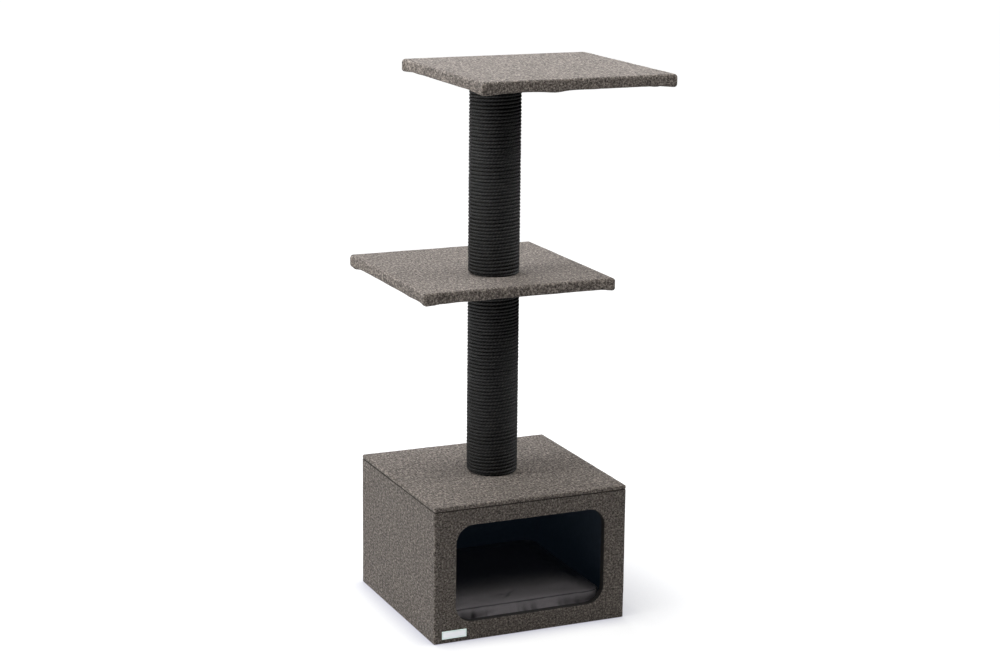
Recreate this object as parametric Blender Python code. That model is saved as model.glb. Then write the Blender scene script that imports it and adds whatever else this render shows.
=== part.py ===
"""A cat tree: a felt-covered house with a cushion, two rope-wound posts and two square platforms.

The origin is the centre of the house's underside, on the floor and on the posts' axis. +Z is up and
the house's door faces -Y. Sizes are in metres. The platforms turn about the posts' axis, and the
cushion lifts off the floor of the house.
"""

import math

import bmesh
import bpy
from mathutils import Matrix, Vector

# Clearance between pieces that touch
GAP = 0.0003

# House, over its felt
HOUSE_WIDTH = 0.360
HOUSE_DEPTH = 0.346
HOUSE_HEIGHT = 0.243
HOUSE_BOARD = 0.012
FELT = 0.002
FELT_CORNER = 0.0025
ROOF_FELT_SKIRT = 0.0045
HEM_ABOVE_FLOOR = 0.0012

# Door in the front wall
DOOR_WIDTH = 0.280
DOOR_HEIGHT = 0.174
DOOR_SILL = 0.033
DOOR_CORNER = 0.032

# Woven label, low on the left of the front
LABEL_WIDTH = 0.045
LABEL_HEIGHT = 0.014
LABEL_THICKNESS = 0.0006
LABEL_FROM_SIDE = 0.0145
LABEL_FROM_FLOOR = 0.0085

# Countersunk screws that hold the boards together
SCREW_LENGTH = 0.030
SCREW_RADIUS = 0.0018
SCREW_HEAD_RADIUS = 0.0040
SCREW_HEAD_HEIGHT = 0.0028
SCREW_POINT = 0.004
FLOOR_SCREW_SPACING = 0.220
CORNER_SCREW_LOW = 0.060
CORNER_SCREW_HIGH = 0.185

# Posts
POST_LENGTH = 0.337
POST_DIAMETER = 0.090
ROPE_DIAMETER = 0.006
TUBE_WALL = 0.004
PLUG_THICKNESS = 0.022

# M8 fixings on the posts' axis
STUD_RADIUS = 0.004
STUD_HOLE_CLEARANCE = 0.001
STUD_IN_INSERT = 0.016
INSERT_WALL = 0.0018
INSERT_LENGTH = 0.018
INSERT_FLANGE_RADIUS = 0.009
INSERT_FLANGE = 0.0014
WASHER_RADIUS = 0.015
WASHER_THICKNESS = 0.002
BOLT_HEAD_RADIUS = 0.0068
BOLT_HEAD_HEIGHT = 0.0055
CHAMFER = 0.0008
TEE_NUT_LENGTH = 0.011
TEE_NUT_FLANGE_RADIUS = 0.011

# Platforms, over their felt
PLATFORM_SIDE = 0.355
PLATFORM_BOARD = 0.015
PLATFORM_EDGE = 0.004
PLATFORM_HEM = 0.030
MIDDLE_OFFSET = (0.0, 0.060)
TOP_OFFSET = (0.072, -0.010)

# Cushion
CUSHION_WIDTH = 0.304
CUSHION_DEPTH = 0.304
CUSHION_CORNER = 0.030
CUSHION_SIDE = 0.036
CUSHION_CROWN = 0.009
CUSHION_FABRIC = 0.001
CUSHION_OPENING = 0.220
CUSHION_OPENING_HEIGHT = 0.003

# Facets
ROPE_ROUND = 48
ROUND = 32
SMALL_ROUND = 16
SCREW_ROUND = 8
CORNER_STEPS = 5

# Worked out from the values above
COVERED = 2 * (FELT + GAP)
BOX_WIDTH = HOUSE_WIDTH - COVERED
BOX_DEPTH = HOUSE_DEPTH - COVERED
ROOF_TOP = HOUSE_HEIGHT - FELT - GAP
ROOF_UNDERSIDE = ROOF_TOP - HOUSE_BOARD
FLOOR_TOP = HOUSE_BOARD
WALL_BOTTOM = FLOOR_TOP + GAP
WALL_TOP = ROOF_UNDERSIDE - GAP
SIDE_WALL_X = (BOX_WIDTH - HOUSE_BOARD) / 2
END_WALL_Y = (BOX_DEPTH - HOUSE_BOARD) / 2
END_WALL_WIDTH = BOX_WIDTH - 2 * (HOUSE_BOARD + GAP)

POST_RADIUS = POST_DIAMETER / 2
TUBE_RADIUS = POST_RADIUS - ROPE_DIAMETER - GAP
TUBE_BORE = TUBE_RADIUS - TUBE_WALL
PLUG_RADIUS = TUBE_BORE - GAP
INSERT_BORE = STUD_RADIUS + GAP
INSERT_RADIUS = INSERT_BORE + INSERT_WALL
STUD_HOLE = STUD_RADIUS + STUD_HOLE_CLEARANCE

PLATFORM_THICKNESS = PLATFORM_BOARD + COVERED
LOWER_POST_BOTTOM = HOUSE_HEIGHT + GAP
LOWER_POST_TOP = LOWER_POST_BOTTOM + POST_LENGTH
MIDDLE_BOTTOM = LOWER_POST_TOP + GAP
UPPER_POST_BOTTOM = MIDDLE_BOTTOM + PLATFORM_THICKNESS + GAP
UPPER_POST_TOP = UPPER_POST_BOTTOM + POST_LENGTH
TOP_BOTTOM = UPPER_POST_TOP + GAP


def material(name, colour, roughness, metallic=0.0):
    """A plain Principled material."""
    made = bpy.data.materials.new(name)
    made.use_nodes = True
    shader = made.node_tree.nodes["Principled BSDF"]
    shader.inputs["Base Color"].default_value = (*colour, 1.0)
    shader.inputs["Roughness"].default_value = roughness
    shader.inputs["Metallic"].default_value = metallic
    return made


def circle(radius, z, segments=ROUND):
    """The points of a circle about the Z axis."""
    turns = [math.tau * i / segments for i in range(segments)]
    return [Vector((radius * math.cos(a), radius * math.sin(a), z)) for a in turns]


def rectangle(width, depth, z, corner=0.0, steps=CORNER_STEPS):
    """The points of a rectangle about the Z axis, with round corners where corner isn't 0."""
    points = []
    for turn in range(4):
        side = Matrix.Rotation(turn * math.pi / 2, 3, "Z")
        half_x, half_y = (width / 2, depth / 2) if turn % 2 == 0 else (depth / 2, width / 2)
        centre = Vector((half_x - corner, half_y - corner, 0.0))
        for i in range(steps + 1) if corner else range(1):
            angle = i * math.pi / 2 / steps
            points.append(side @ (centre + corner * Vector((math.cos(angle), math.sin(angle), 0.0))))
    return [point + Vector((0.0, 0.0, z)) for point in points]


def loft(rings, ring_shaped=False):
    """A closed mesh through rings of equal counts: capped at both ends, or back to its first ring."""
    bm = bmesh.new()
    rows = [[bm.verts.new(point) for point in ring] for ring in rings]
    pairs = list(zip(rows, rows[1:]))
    if ring_shaped:
        pairs.append((rows[-1], rows[0]))
    else:
        bm.faces.new(rows[0])
        bm.faces.new(rows[-1])
    for low, high in pairs:
        for i in range(len(low)):
            j = (i + 1) % len(low)
            bm.faces.new((low[i], low[j], high[j], high[i]))
    bmesh.ops.recalc_face_normals(bm, faces=bm.faces)
    return bm


def turned(profile, segments=ROUND, hollow=False):
    """A turned piece about Z, through (radius, height) points."""
    return loft([circle(radius, z, segments) for radius, z in profile], hollow)


def block(width, depth, low, high, corner=0.0):
    """A plain board or cutter about the Z axis, from low to high."""
    return loft([rectangle(width, depth, z, corner, steps=3) for z in (low, high)])


def add(name, bm, finish=None, parent=None, place=Matrix.Identity(4), smooth=False):
    """Makes an object of a mesh. One with no finish is a cutter."""
    mesh = bpy.data.meshes.new(name)
    bm.to_mesh(mesh)
    bm.free()
    if smooth:
        mesh.shade_smooth()
        mesh.set_sharp_from_angle(angle=math.radians(35))
    made = bpy.data.objects.new(name, mesh)
    bpy.context.scene.collection.objects.link(made)
    made.parent = parent
    made.matrix_local = place
    if finish is None:
        made.hide_render = True
        made.display_type = "WIRE"
    else:
        mesh.materials.append(finish)
    return made


def cut(piece, *cutters):
    """Takes the cutters' shapes out of a piece."""
    for cutter in cutters:
        boolean = piece.modifiers.new(cutter.name, "BOOLEAN")
        boolean.operation = "DIFFERENCE"
        boolean.solver = "EXACT"
        boolean.object = cutter


def pivot(name, height):
    """An empty on the posts' axis, for what turns or lifts there."""
    made = bpy.data.objects.new(name, None)
    bpy.context.scene.collection.objects.link(made)
    made.location = (0.0, 0.0, height)
    bpy.context.view_layer.update()
    return made


def at(x=0.0, y=0.0, z=0.0):
    return Matrix.Translation((x, y, z))


def screw_profile(clearance=0.0, above=0.0):
    """Half a countersunk screw whose head is flush at height 0, or the hole for it."""
    head, shank = SCREW_HEAD_RADIUS + clearance, SCREW_RADIUS + clearance
    bottom = -SCREW_LENGTH - clearance
    return [
        (head, above),
        (head, -GAP - clearance),
        (shank, -GAP - clearance - SCREW_HEAD_HEIGHT),
        (shank, bottom + SCREW_POINT),
        (shank / 6, bottom),
    ]


def add_screw(name, place, boards, steel):
    """A countersunk screw, and its hole in each board that it passes through."""
    add(name, turned(screw_profile(), SCREW_ROUND), steel, place=place, smooth=True)
    hole = add(f"{name}_hole", turned(screw_profile(GAP, above=GAP), SCREW_ROUND), place=place)
    cut_into(boards, hole)


def cut_into(pieces, cutter):
    for piece in pieces:
        cut(piece, cutter)


def add_door_cutter():
    """A rounded rectangle that stands in the front wall and its felt."""
    reach = 4 * HOUSE_BOARD
    rings = [rectangle(DOOR_WIDTH, DOOR_HEIGHT, z, DOOR_CORNER) for z in (-reach, reach)]
    height = DOOR_SILL + DOOR_HEIGHT / 2
    place = at(y=-END_WALL_Y, z=height) @ Matrix.Rotation(math.pi / 2, 4, "X")
    return add("door_cutter", loft(rings), place=place)


def add_house(finishes):
    """Six boards, screwed together, with felt round the walls and over the roof."""
    wood, felt, steel = finishes["board"], finishes["felt"], finishes["steel"]
    wall_height = WALL_TOP - WALL_BOTTOM
    side_wall = (HOUSE_BOARD, BOX_DEPTH, WALL_BOTTOM, WALL_TOP)
    end_wall = (END_WALL_WIDTH, HOUSE_BOARD, WALL_BOTTOM, WALL_TOP)
    floor = add("floor_board", block(BOX_WIDTH, BOX_DEPTH, 0.0, FLOOR_TOP), wood)
    roof = add("roof_board", block(BOX_WIDTH, BOX_DEPTH, ROOF_UNDERSIDE, ROOF_TOP), wood)
    left = add("left_wall", block(*side_wall), wood, place=at(x=-SIDE_WALL_X))
    right = add("right_wall", block(*side_wall), wood, place=at(x=SIDE_WALL_X))
    front = add("front_wall", block(*end_wall), wood, place=at(y=-END_WALL_Y))
    back = add("back_wall", block(*end_wall), wood, place=at(y=END_WALL_Y))
    assert CORNER_SCREW_HIGH < wall_height

    skirt_bottom = HOUSE_HEIGHT - FELT - ROOF_FELT_SKIRT
    inner_corner = FELT_CORNER - FELT
    side_rings = [
        rectangle(HOUSE_WIDTH, HOUSE_DEPTH, HEM_ABOVE_FLOOR, FELT_CORNER),
        rectangle(HOUSE_WIDTH, HOUSE_DEPTH, skirt_bottom - GAP, FELT_CORNER),
        rectangle(HOUSE_WIDTH - 2 * FELT, HOUSE_DEPTH - 2 * FELT, skirt_bottom - GAP, inner_corner),
        rectangle(HOUSE_WIDTH - 2 * FELT, HOUSE_DEPTH - 2 * FELT, HEM_ABOVE_FLOOR, inner_corner),
    ]
    side_felt = add("side_felt", loft(side_rings, ring_shaped=True), felt, smooth=True)
    roof_rings = [
        rectangle(HOUSE_WIDTH - 2 * FELT, HOUSE_DEPTH - 2 * FELT, HOUSE_HEIGHT - FELT, inner_corner),
        rectangle(HOUSE_WIDTH - 2 * FELT, HOUSE_DEPTH - 2 * FELT, skirt_bottom, inner_corner),
        rectangle(HOUSE_WIDTH, HOUSE_DEPTH, skirt_bottom, FELT_CORNER),
        rectangle(HOUSE_WIDTH, HOUSE_DEPTH, HOUSE_HEIGHT - FELT / 2, FELT_CORNER),
        rectangle(HOUSE_WIDTH - FELT, HOUSE_DEPTH - FELT, HOUSE_HEIGHT, FELT_CORNER - FELT / 2),
    ]
    roof_felt = add("roof_felt", loft(roof_rings), felt, smooth=True)

    cut_into((front, side_felt), add_door_cutter())
    through = [(STUD_HOLE, ROOF_UNDERSIDE - HOUSE_BOARD), (STUD_HOLE, HOUSE_HEIGHT + HOUSE_BOARD)]
    cut_into((roof, roof_felt), add("bolt_hole", turned(through, SMALL_ROUND)))

    turned_over = Matrix.Rotation(math.pi, 4, "X")
    for side, wall, sign in (("left", left, -1), ("right", right, 1)):
        for end, y in (("front", -FLOOR_SCREW_SPACING / 2), ("back", FLOOR_SCREW_SPACING / 2)):
            x = sign * SIDE_WALL_X
            add_screw(f"floor_screw_{side}_{end}", at(x, y, 0.0) @ turned_over, (floor, wall), steel)
            add_screw(f"roof_screw_{side}_{end}", at(x, y, ROOF_TOP), (roof, wall), steel)
        outwards = Matrix.Rotation(sign * math.pi / 2, 4, "Y")
        for end, end_board, y in (("front", front, -END_WALL_Y), ("back", back, END_WALL_Y)):
            for level, z in (("low", CORNER_SCREW_LOW), ("high", CORNER_SCREW_HIGH)):
                place = at(sign * BOX_WIDTH / 2, y, z) @ outwards
                add_screw(f"{side}_{end}_screw_{level}", place, (wall, end_board), steel)


def add_label(finishes):
    """A woven label sewn on the front, beside the left edge."""
    x = -HOUSE_WIDTH / 2 + LABEL_FROM_SIDE + LABEL_WIDTH / 2
    y = -HOUSE_DEPTH / 2 - GAP - LABEL_THICKNESS / 2
    label = block(LABEL_WIDTH, LABEL_THICKNESS, LABEL_FROM_FLOOR, LABEL_FROM_FLOOR + LABEL_HEIGHT)
    add("woven_label", label, finishes["label"], place=at(x, y))


def insert_profile(clearance=0.0):
    """The outside of a flanged insert whose flange is flush at height 0, or the seat for it."""
    return [
        (INSERT_FLANGE_RADIUS + clearance, 0.0),
        (INSERT_FLANGE_RADIUS + clearance, -INSERT_FLANGE - clearance),
        (INSERT_RADIUS + clearance, -INSERT_FLANGE - clearance),
        (INSERT_RADIUS + clearance, -INSERT_LENGTH - clearance),
    ]


def add_post(name, bottom, finishes):
    """A cardboard tube wound with rope, with a wooden plug and a threaded insert at each end."""
    top = bottom + POST_LENGTH
    tube = [(TUBE_BORE, bottom), (TUBE_RADIUS, bottom), (TUBE_RADIUS, top), (TUBE_BORE, top)]
    add(f"{name}_tube", turned(tube, hollow=True), finishes["cardboard"], smooth=True)
    inside = TUBE_RADIUS + GAP
    wound = [(inside, bottom), (POST_RADIUS, bottom), (POST_RADIUS, top), (inside, top)]
    rope = turned(wound, ROPE_ROUND, hollow=True)
    add(f"{name}_rope", rope, finishes["rope"], smooth=True)
    turned_over = Matrix.Rotation(math.pi, 4, "X")
    for end, place in (("top", at(z=top)), ("bottom", at(z=bottom) @ turned_over)):
        plug = [*insert_profile(GAP), (INSERT_RADIUS + GAP, -PLUG_THICKNESS)]
        plug += [(PLUG_RADIUS, -PLUG_THICKNESS), (PLUG_RADIUS, 0.0)]
        add(f"{name}_{end}_plug", turned(plug, hollow=True), finishes["board"], place=place, smooth=True)
        insert = [*insert_profile(), (INSERT_BORE, -INSERT_LENGTH), (INSERT_BORE, 0.0)]
        insert = turned(insert, SMALL_ROUND, hollow=True)
        add(f"{name}_{end}_insert", insert, finishes["steel"], place=place, smooth=True)


def stud(low, high):
    """A threaded rod with chamfered ends, its thread left plain."""
    ends = [(STUD_RADIUS - CHAMFER, low), (STUD_RADIUS, low + CHAMFER)]
    ends += [(STUD_RADIUS, high - CHAMFER), (STUD_RADIUS - CHAMFER, high)]
    return turned(ends, SMALL_ROUND)


def add_fixings(finishes):
    """The bolt from the house into the lower post, and the stud that joins the posts."""
    steel = finishes["steel"]
    washer_top = ROOF_UNDERSIDE - GAP
    washer_bottom = washer_top - WASHER_THICKNESS
    washer = [(STUD_HOLE, washer_bottom), (WASHER_RADIUS, washer_bottom)]
    washer += [(WASHER_RADIUS, washer_top), (STUD_HOLE, washer_top)]
    add("house_washer", turned(washer, SMALL_ROUND, hollow=True), steel, smooth=True)
    head_top = washer_bottom - GAP
    head_bottom = head_top - BOLT_HEAD_HEIGHT
    end = LOWER_POST_BOTTOM + STUD_IN_INSERT
    bolt = [
        (BOLT_HEAD_RADIUS - CHAMFER, head_bottom),
        (BOLT_HEAD_RADIUS, head_bottom + CHAMFER),
        (BOLT_HEAD_RADIUS, head_top),
        (STUD_RADIUS, head_top),
        (STUD_RADIUS, end - CHAMFER),
        (STUD_RADIUS - CHAMFER, end),
    ]
    add("house_bolt", turned(bolt, SMALL_ROUND), steel, smooth=True)
    joining = stud(LOWER_POST_TOP - STUD_IN_INSERT, UPPER_POST_BOTTOM + STUD_IN_INSERT)
    add("joining_stud", joining, steel, smooth=True)


def platform_felt():
    """Felt over a platform's board, round its edges and turned in underneath."""
    side, inner, top = PLATFORM_SIDE, PLATFORM_SIDE - 2 * FELT, PLATFORM_THICKNESS
    hem = side - 2 * PLATFORM_HEM
    inner_edge, eased = PLATFORM_EDGE - FELT, PLATFORM_EDGE * 0.3
    levels = [
        (inner, top - FELT, inner_edge),
        (inner, FELT, inner_edge),
        (hem, FELT, inner_edge),
        (hem, 0.0, inner_edge),
        (side - 2 * PLATFORM_EDGE, 0.0, PLATFORM_EDGE),
        (side - 2 * eased, eased, PLATFORM_EDGE),
        (side, PLATFORM_EDGE, PLATFORM_EDGE),
        (side, top - PLATFORM_EDGE, PLATFORM_EDGE),
        (side - 2 * eased, top - eased, PLATFORM_EDGE),
        (side - 2 * PLATFORM_EDGE, top, PLATFORM_EDGE),
    ]
    return loft([rectangle(size, size, z, corner, steps=3) for size, z, corner in levels])


def add_platform(name, bottom, offset, finishes):
    """A square board in felt, with a felt panel inside the hem below. Its middle is off the axis."""
    swivel = pivot(f"{name}_swivel", bottom)
    shift = at(*offset)
    board_low, board_high = FELT + GAP, PLATFORM_THICKNESS - FELT - GAP
    side, corner = PLATFORM_SIDE - COVERED, PLATFORM_EDGE - FELT - GAP
    board_mesh = block(side, side, board_low, board_high, corner)
    board = add(f"{name}_board", board_mesh, finishes["board"], swivel, shift)
    felt = add(f"{name}_felt", platform_felt(), finishes["felt"], swivel, shift, smooth=True)
    liner_side = PLATFORM_SIDE - 2 * (PLATFORM_HEM + GAP)
    liner_mesh = block(liner_side, liner_side, 0.0, FELT, corner)
    liner = add(f"{name}_liner", liner_mesh, finishes["liner"], swivel, shift)
    return swivel, board, felt, liner


def add_middle_platform(finishes):
    """The stud that joins the posts goes right through this one."""
    swivel, *pieces = add_platform("middle", MIDDLE_BOTTOM, MIDDLE_OFFSET, finishes)
    through = turned([(STUD_HOLE, -FELT), (STUD_HOLE, PLATFORM_THICKNESS + FELT)], SMALL_ROUND)
    cut_into(pieces, add("middle_stud_hole", through, parent=swivel))


def add_top_platform(finishes):
    """A tee nut in the board takes the upper post's stud from below."""
    swivel, board, _, liner = add_platform("top", TOP_BOTTOM, TOP_OFFSET, finishes)
    nut_top = PLATFORM_THICKNESS - FELT - 2 * GAP
    flange = nut_top - INSERT_FLANGE
    nut_bottom = nut_top - TEE_NUT_LENGTH
    nut = [
        (INSERT_BORE, nut_bottom),
        (INSERT_RADIUS, nut_bottom),
        (INSERT_RADIUS, flange),
        (TEE_NUT_FLANGE_RADIUS, flange),
        (TEE_NUT_FLANGE_RADIUS, nut_top),
        (INSERT_BORE, nut_top),
    ]
    nut_mesh = turned(nut, SMALL_ROUND, hollow=True)
    add("top_tee_nut", nut_mesh, finishes["steel"], swivel, smooth=True)
    seat = [
        (INSERT_RADIUS + GAP, -FELT),
        (INSERT_RADIUS + GAP, flange - GAP),
        (TEE_NUT_FLANGE_RADIUS + GAP, flange - GAP),
        (TEE_NUT_FLANGE_RADIUS + GAP, PLATFORM_THICKNESS - FELT),
    ]
    cut_into((board, liner), add("tee_nut_seat", turned(seat, SMALL_ROUND), parent=swivel))
    rod = stud(UPPER_POST_TOP - STUD_IN_INSERT, TOP_BOTTOM + nut_top - GAP)
    add("top_stud", rod, finishes["steel"], smooth=True)


def cushion_rings(inset=0.0):
    """A boxed cushion: straight sides up to the seam, then a low crown."""
    foot, seam = inset, CUSHION_SIDE - inset / 2
    levels = [
        (0.006, foot),
        (0.0, foot + 0.004),
        (0.0, seam),
        (0.018, seam + 0.45 * CUSHION_CROWN),
        (0.055, seam + 0.85 * CUSHION_CROWN),
        (0.100, seam + CUSHION_CROWN - inset / 2),
    ]
    rings = []
    for shrink, z in levels:
        taken = 2 * (shrink + inset)
        corner = CUSHION_CORNER - inset
        rings.append(rectangle(CUSHION_WIDTH - taken, CUSHION_DEPTH - taken, z, corner))
    return rings


def add_cushion(finishes):
    """A zipped cover with a pad in it. It lies on the floor board."""
    lift = pivot("cushion_lift", FLOOR_TOP + GAP)
    cover = add("cushion_cover", loft(cushion_rings()), finishes["cushion"], lift, smooth=True)
    hollow = add("cushion_hollow", loft(cushion_rings(CUSHION_FABRIC)), parent=lift)
    reach = 4 * CUSHION_FABRIC
    middle = CUSHION_SIDE / 2
    slit = block(CUSHION_OPENING, 2 * reach, middle, middle + CUSHION_OPENING_HEIGHT)
    opening = add("cushion_slit", slit, parent=lift, place=at(y=CUSHION_DEPTH / 2))
    cut(cover, hollow, opening)
    pad = loft(cushion_rings(CUSHION_FABRIC + 2 * GAP))
    add("cushion_pad", pad, finishes["filling"], lift, smooth=True)


def main():
    for old in list(bpy.data.objects):
        bpy.data.objects.remove(old)
    finishes = {
        "felt": material("felt", (0.165, 0.145, 0.128), 0.95),
        "board": material("board", (0.42, 0.30, 0.19), 0.75),
        "cardboard": material("cardboard", (0.40, 0.30, 0.21), 0.85),
        "rope": material("rope", (0.022, 0.021, 0.020), 0.80),
        "liner": material("liner", (0.020, 0.020, 0.022), 0.90),
        "steel": material("steel", (0.62, 0.62, 0.64), 0.35, metallic=1.0),
        "cushion": material("cushion", (0.062, 0.058, 0.060), 0.70),
        "filling": material("filling", (0.85, 0.85, 0.83), 0.95),
        "label": material("label", (0.72, 0.76, 0.75), 0.60),
    }
    add_house(finishes)
    add_label(finishes)
    add_post("lower", LOWER_POST_BOTTOM, finishes)
    add_post("upper", UPPER_POST_BOTTOM, finishes)
    add_fixings(finishes)
    add_middle_platform(finishes)
    add_top_platform(finishes)
    add_cushion(finishes)


main()
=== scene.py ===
# %% [markdown]
# # A cat tree
# A box house with a cushion, two rope-wound posts and two platforms in grey felt. The model's boards,
# tubes and fixings stay as they are and only get their finishes. Felt, rope, cushion and the small
# fixings are made again here, in the same places, with their folds, turns and fibres.

# %% The model
import math

import bmesh
import bpy
import numpy as np
from mathutils import Matrix, Vector, noise


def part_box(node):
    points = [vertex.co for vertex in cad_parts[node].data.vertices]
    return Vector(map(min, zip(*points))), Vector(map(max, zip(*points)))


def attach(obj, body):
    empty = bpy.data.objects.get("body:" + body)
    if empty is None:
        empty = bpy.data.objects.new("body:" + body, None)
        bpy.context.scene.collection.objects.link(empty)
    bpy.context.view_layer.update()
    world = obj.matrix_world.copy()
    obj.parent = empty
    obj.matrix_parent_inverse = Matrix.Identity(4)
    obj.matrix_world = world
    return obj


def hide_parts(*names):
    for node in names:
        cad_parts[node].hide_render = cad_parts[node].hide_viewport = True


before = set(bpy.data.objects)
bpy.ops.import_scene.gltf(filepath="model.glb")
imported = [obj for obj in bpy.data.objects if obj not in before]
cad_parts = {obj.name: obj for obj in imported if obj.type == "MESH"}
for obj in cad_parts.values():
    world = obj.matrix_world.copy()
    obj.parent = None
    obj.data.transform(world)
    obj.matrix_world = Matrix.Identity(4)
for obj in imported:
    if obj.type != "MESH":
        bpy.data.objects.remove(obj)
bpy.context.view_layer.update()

scene = bpy.context.scene

# %% [markdown]
# ## Camera
# The camera stands to the left of the door, a little above the top platform, with a long lens, as for
# a catalogue. It looks slightly down and is turned by under a degree about its own axis.

# %% Camera
CAMERA_PLACE = (-1.5447, -3.4947, 1.4093)
YAW, PITCH, ROLL = (math.radians(angle) for angle in (-24.03, 90 - 13.51, 0.64))
camera_data = bpy.data.cameras.new("camera")
camera_data.sensor_fit = "HORIZONTAL"
camera_data.sensor_width = 36.0
camera_data.lens = 80.88
camera = bpy.data.objects.new("camera", camera_data)
scene.collection.objects.link(camera)
turn = Matrix.Rotation(YAW, 4, "Z") @ Matrix.Rotation(PITCH, 4, "X") @ Matrix.Rotation(ROLL, 4, "Z")
camera.matrix_world = Matrix.Translation(CAMERA_PLACE) @ turn
scene.camera = camera

# %% [markdown]
# ## Floor and light
# A white studio. The strongest light is a wide one above and behind, which grazes the tops. A second one
# stands on the left, and smaller ones near the top platform make what is higher brighter. A weak front
# light reaches into the doorway. To the camera the floor glows almost white by itself, and a little more
# far away, where no light falls. Two occlusion nodes shade it: one all along the house's foot, and one,
# leaning to the left, only on the house's right. From below the floor is clear.

# %% Helpers for node trees


def put(tree, kind, inputs=None, **settings):
    """Adds a node. Inputs are values or other nodes' sockets, by name or number."""
    node = tree.nodes.new(kind)
    for key, value in settings.items():
        setattr(node, key, value)
    for key, value in (inputs or {}).items():
        socket = node.inputs[key]
        if isinstance(value, bpy.types.NodeSocket):
            tree.links.new(value, socket)
        else:
            socket.default_value = value
    return node


def maths(tree, operation, first, second=0.0, third=0.0):
    """A Math node's result."""
    inputs = {0: first, 1: second, 2: third}
    return put(tree, "ShaderNodeMath", inputs, operation=operation).outputs[0]


def mixed(tree, factor, first, second):
    """Two colours mixed."""
    inputs = {0: factor, 6: first, 7: second}
    return put(tree, "ShaderNodeMix", inputs, data_type="RGBA").outputs[2]


def ranged(tree, value, low, high, to_low=0.0, to_high=1.0):
    """A value's range mapped to another, and clamped."""
    inputs = {"Value": value, 1: low, 2: high, 3: to_low, 4: to_high}
    return put(tree, "ShaderNodeMapRange", inputs).outputs["Result"]


# %% Floor
NEAR_GLOW, FAR_GLOW = 0.80, 1.02
GLOW_FROM, GLOW_TO = 0.35, 1.3
FLOOR_SIDE = 30
FLOOR_SHADE = 0.24
FOOT_SHADOW = 0.050
SIDE_SHADOW = 0.20
SIDE_LEAN = (-0.8, 0.0, 0.6)
RIGHT_FROM, RIGHT_TO = 0.12, 0.21
floor_material = bpy.data.materials.new("studio_floor")
floor_material.use_nodes = True
tree = floor_material.node_tree
shader = tree.nodes["Principled BSDF"]
shader.inputs["Base Color"].default_value = (0.8, 0.8, 0.8, 1)
shader.inputs["Roughness"].default_value = 0.9
shader.inputs["Specular IOR Level"].default_value = 0.0
shown = put(tree, "ShaderNodeBsdfDiffuse", {"Color": (FLOOR_SHADE, FLOOR_SHADE, FLOOR_SHADE, 1)})
near = put(tree, "ShaderNodeAmbientOcclusion", {"Distance": FOOT_SHADOW}, samples=12)
open_sky = ranged(tree, near.outputs["AO"], 0.45, 0.97)
tint = mixed(tree, open_sky, (0.55, 0.55, 0.64, 1), (1, 1, 1, 1))
place = put(tree, "ShaderNodeTexCoord").outputs["Object"]
lean = put(tree, "ShaderNodeCombineXYZ", dict(enumerate(SIDE_LEAN))).outputs[0]
beside = put(tree, "ShaderNodeAmbientOcclusion", {"Distance": SIDE_SHADOW, "Normal": lean}, samples=12)
at_right = ranged(tree, put(tree, "ShaderNodeSeparateXYZ", {0: place}).outputs[0], RIGHT_FROM, RIGHT_TO)
shade = maths(tree, "MULTIPLY", ranged(tree, beside.outputs["AO"], 0.30, 0.95, 0.85, 0.0), at_right)
tint = mixed(tree, shade, tint, (0.5, 0.5, 0.53, 1))
far = put(tree, "ShaderNodeVectorMath", {0: place}, operation="LENGTH").outputs["Value"]
brightness = ranged(tree, far, GLOW_FROM, GLOW_TO, NEAR_GLOW, FAR_GLOW)
glow = put(tree, "ShaderNodeEmission", {"Color": tint, "Strength": brightness})
both = put(tree, "ShaderNodeAddShader", {0: shown.outputs[0], 1: glow.outputs[0]})
seen = put(tree, "ShaderNodeLightPath")
mix = {0: seen.outputs["Is Camera Ray"], 1: shader.outputs[0], 2: both.outputs[0]}
chosen = put(tree, "ShaderNodeMixShader", mix)
underneath = put(tree, "ShaderNodeNewGeometry").outputs["Backfacing"]
clear = put(tree, "ShaderNodeBsdfTransparent")
one_sided = put(tree, "ShaderNodeMixShader", {0: underneath, 1: chosen.outputs[0], 2: clear.outputs[0]})
tree.links.new(one_sided.outputs[0], tree.nodes["Material Output"].inputs["Surface"])
bpy.ops.mesh.primitive_plane_add(size=FLOOR_SIDE)
studio_floor = bpy.context.object
studio_floor.name = "studio_floor"
studio_floor.data.materials.append(floor_material)

# %% Surroundings
AMBIENT = 0.02
world = bpy.data.worlds.new("studio")
scene.world = world
world.use_nodes = True
tree = world.node_tree
around = tree.nodes["Background"]
around.inputs["Color"].default_value = (0.93, 0.96, 1.0, 1)
around.inputs["Strength"].default_value = AMBIENT
white = put(tree, "ShaderNodeBackground", {"Color": (1, 1, 1, 1), "Strength": 1.05})
seen = put(tree, "ShaderNodeLightPath")
mix = {0: seen.outputs["Is Camera Ray"], 1: around.outputs[0], 2: white.outputs[0]}
chosen = put(tree, "ShaderNodeMixShader", mix)
tree.links.new(chosen.outputs[0], tree.nodes["World Output"].inputs["Surface"])
scene.view_settings.view_transform = "Standard"
scene.view_settings.look = "None"

# %% Lights


def soft_light(name, place, aim, width, height, watts, colour=(1.0, 1.0, 1.0)):
    """A rectangular studio light that points at a place."""
    light = bpy.data.lights.new(name, "AREA")
    light.shape = "RECTANGLE"
    light.size = width
    light.size_y = height
    light.energy = watts
    light.color = colour
    made = bpy.data.objects.new(name, light)
    scene.collection.objects.link(made)
    towards = Vector(aim) - Vector(place)
    made.matrix_world = Matrix.Translation(place) @ towards.to_track_quat("-Z", "Y").to_matrix().to_4x4()
    return made


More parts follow.
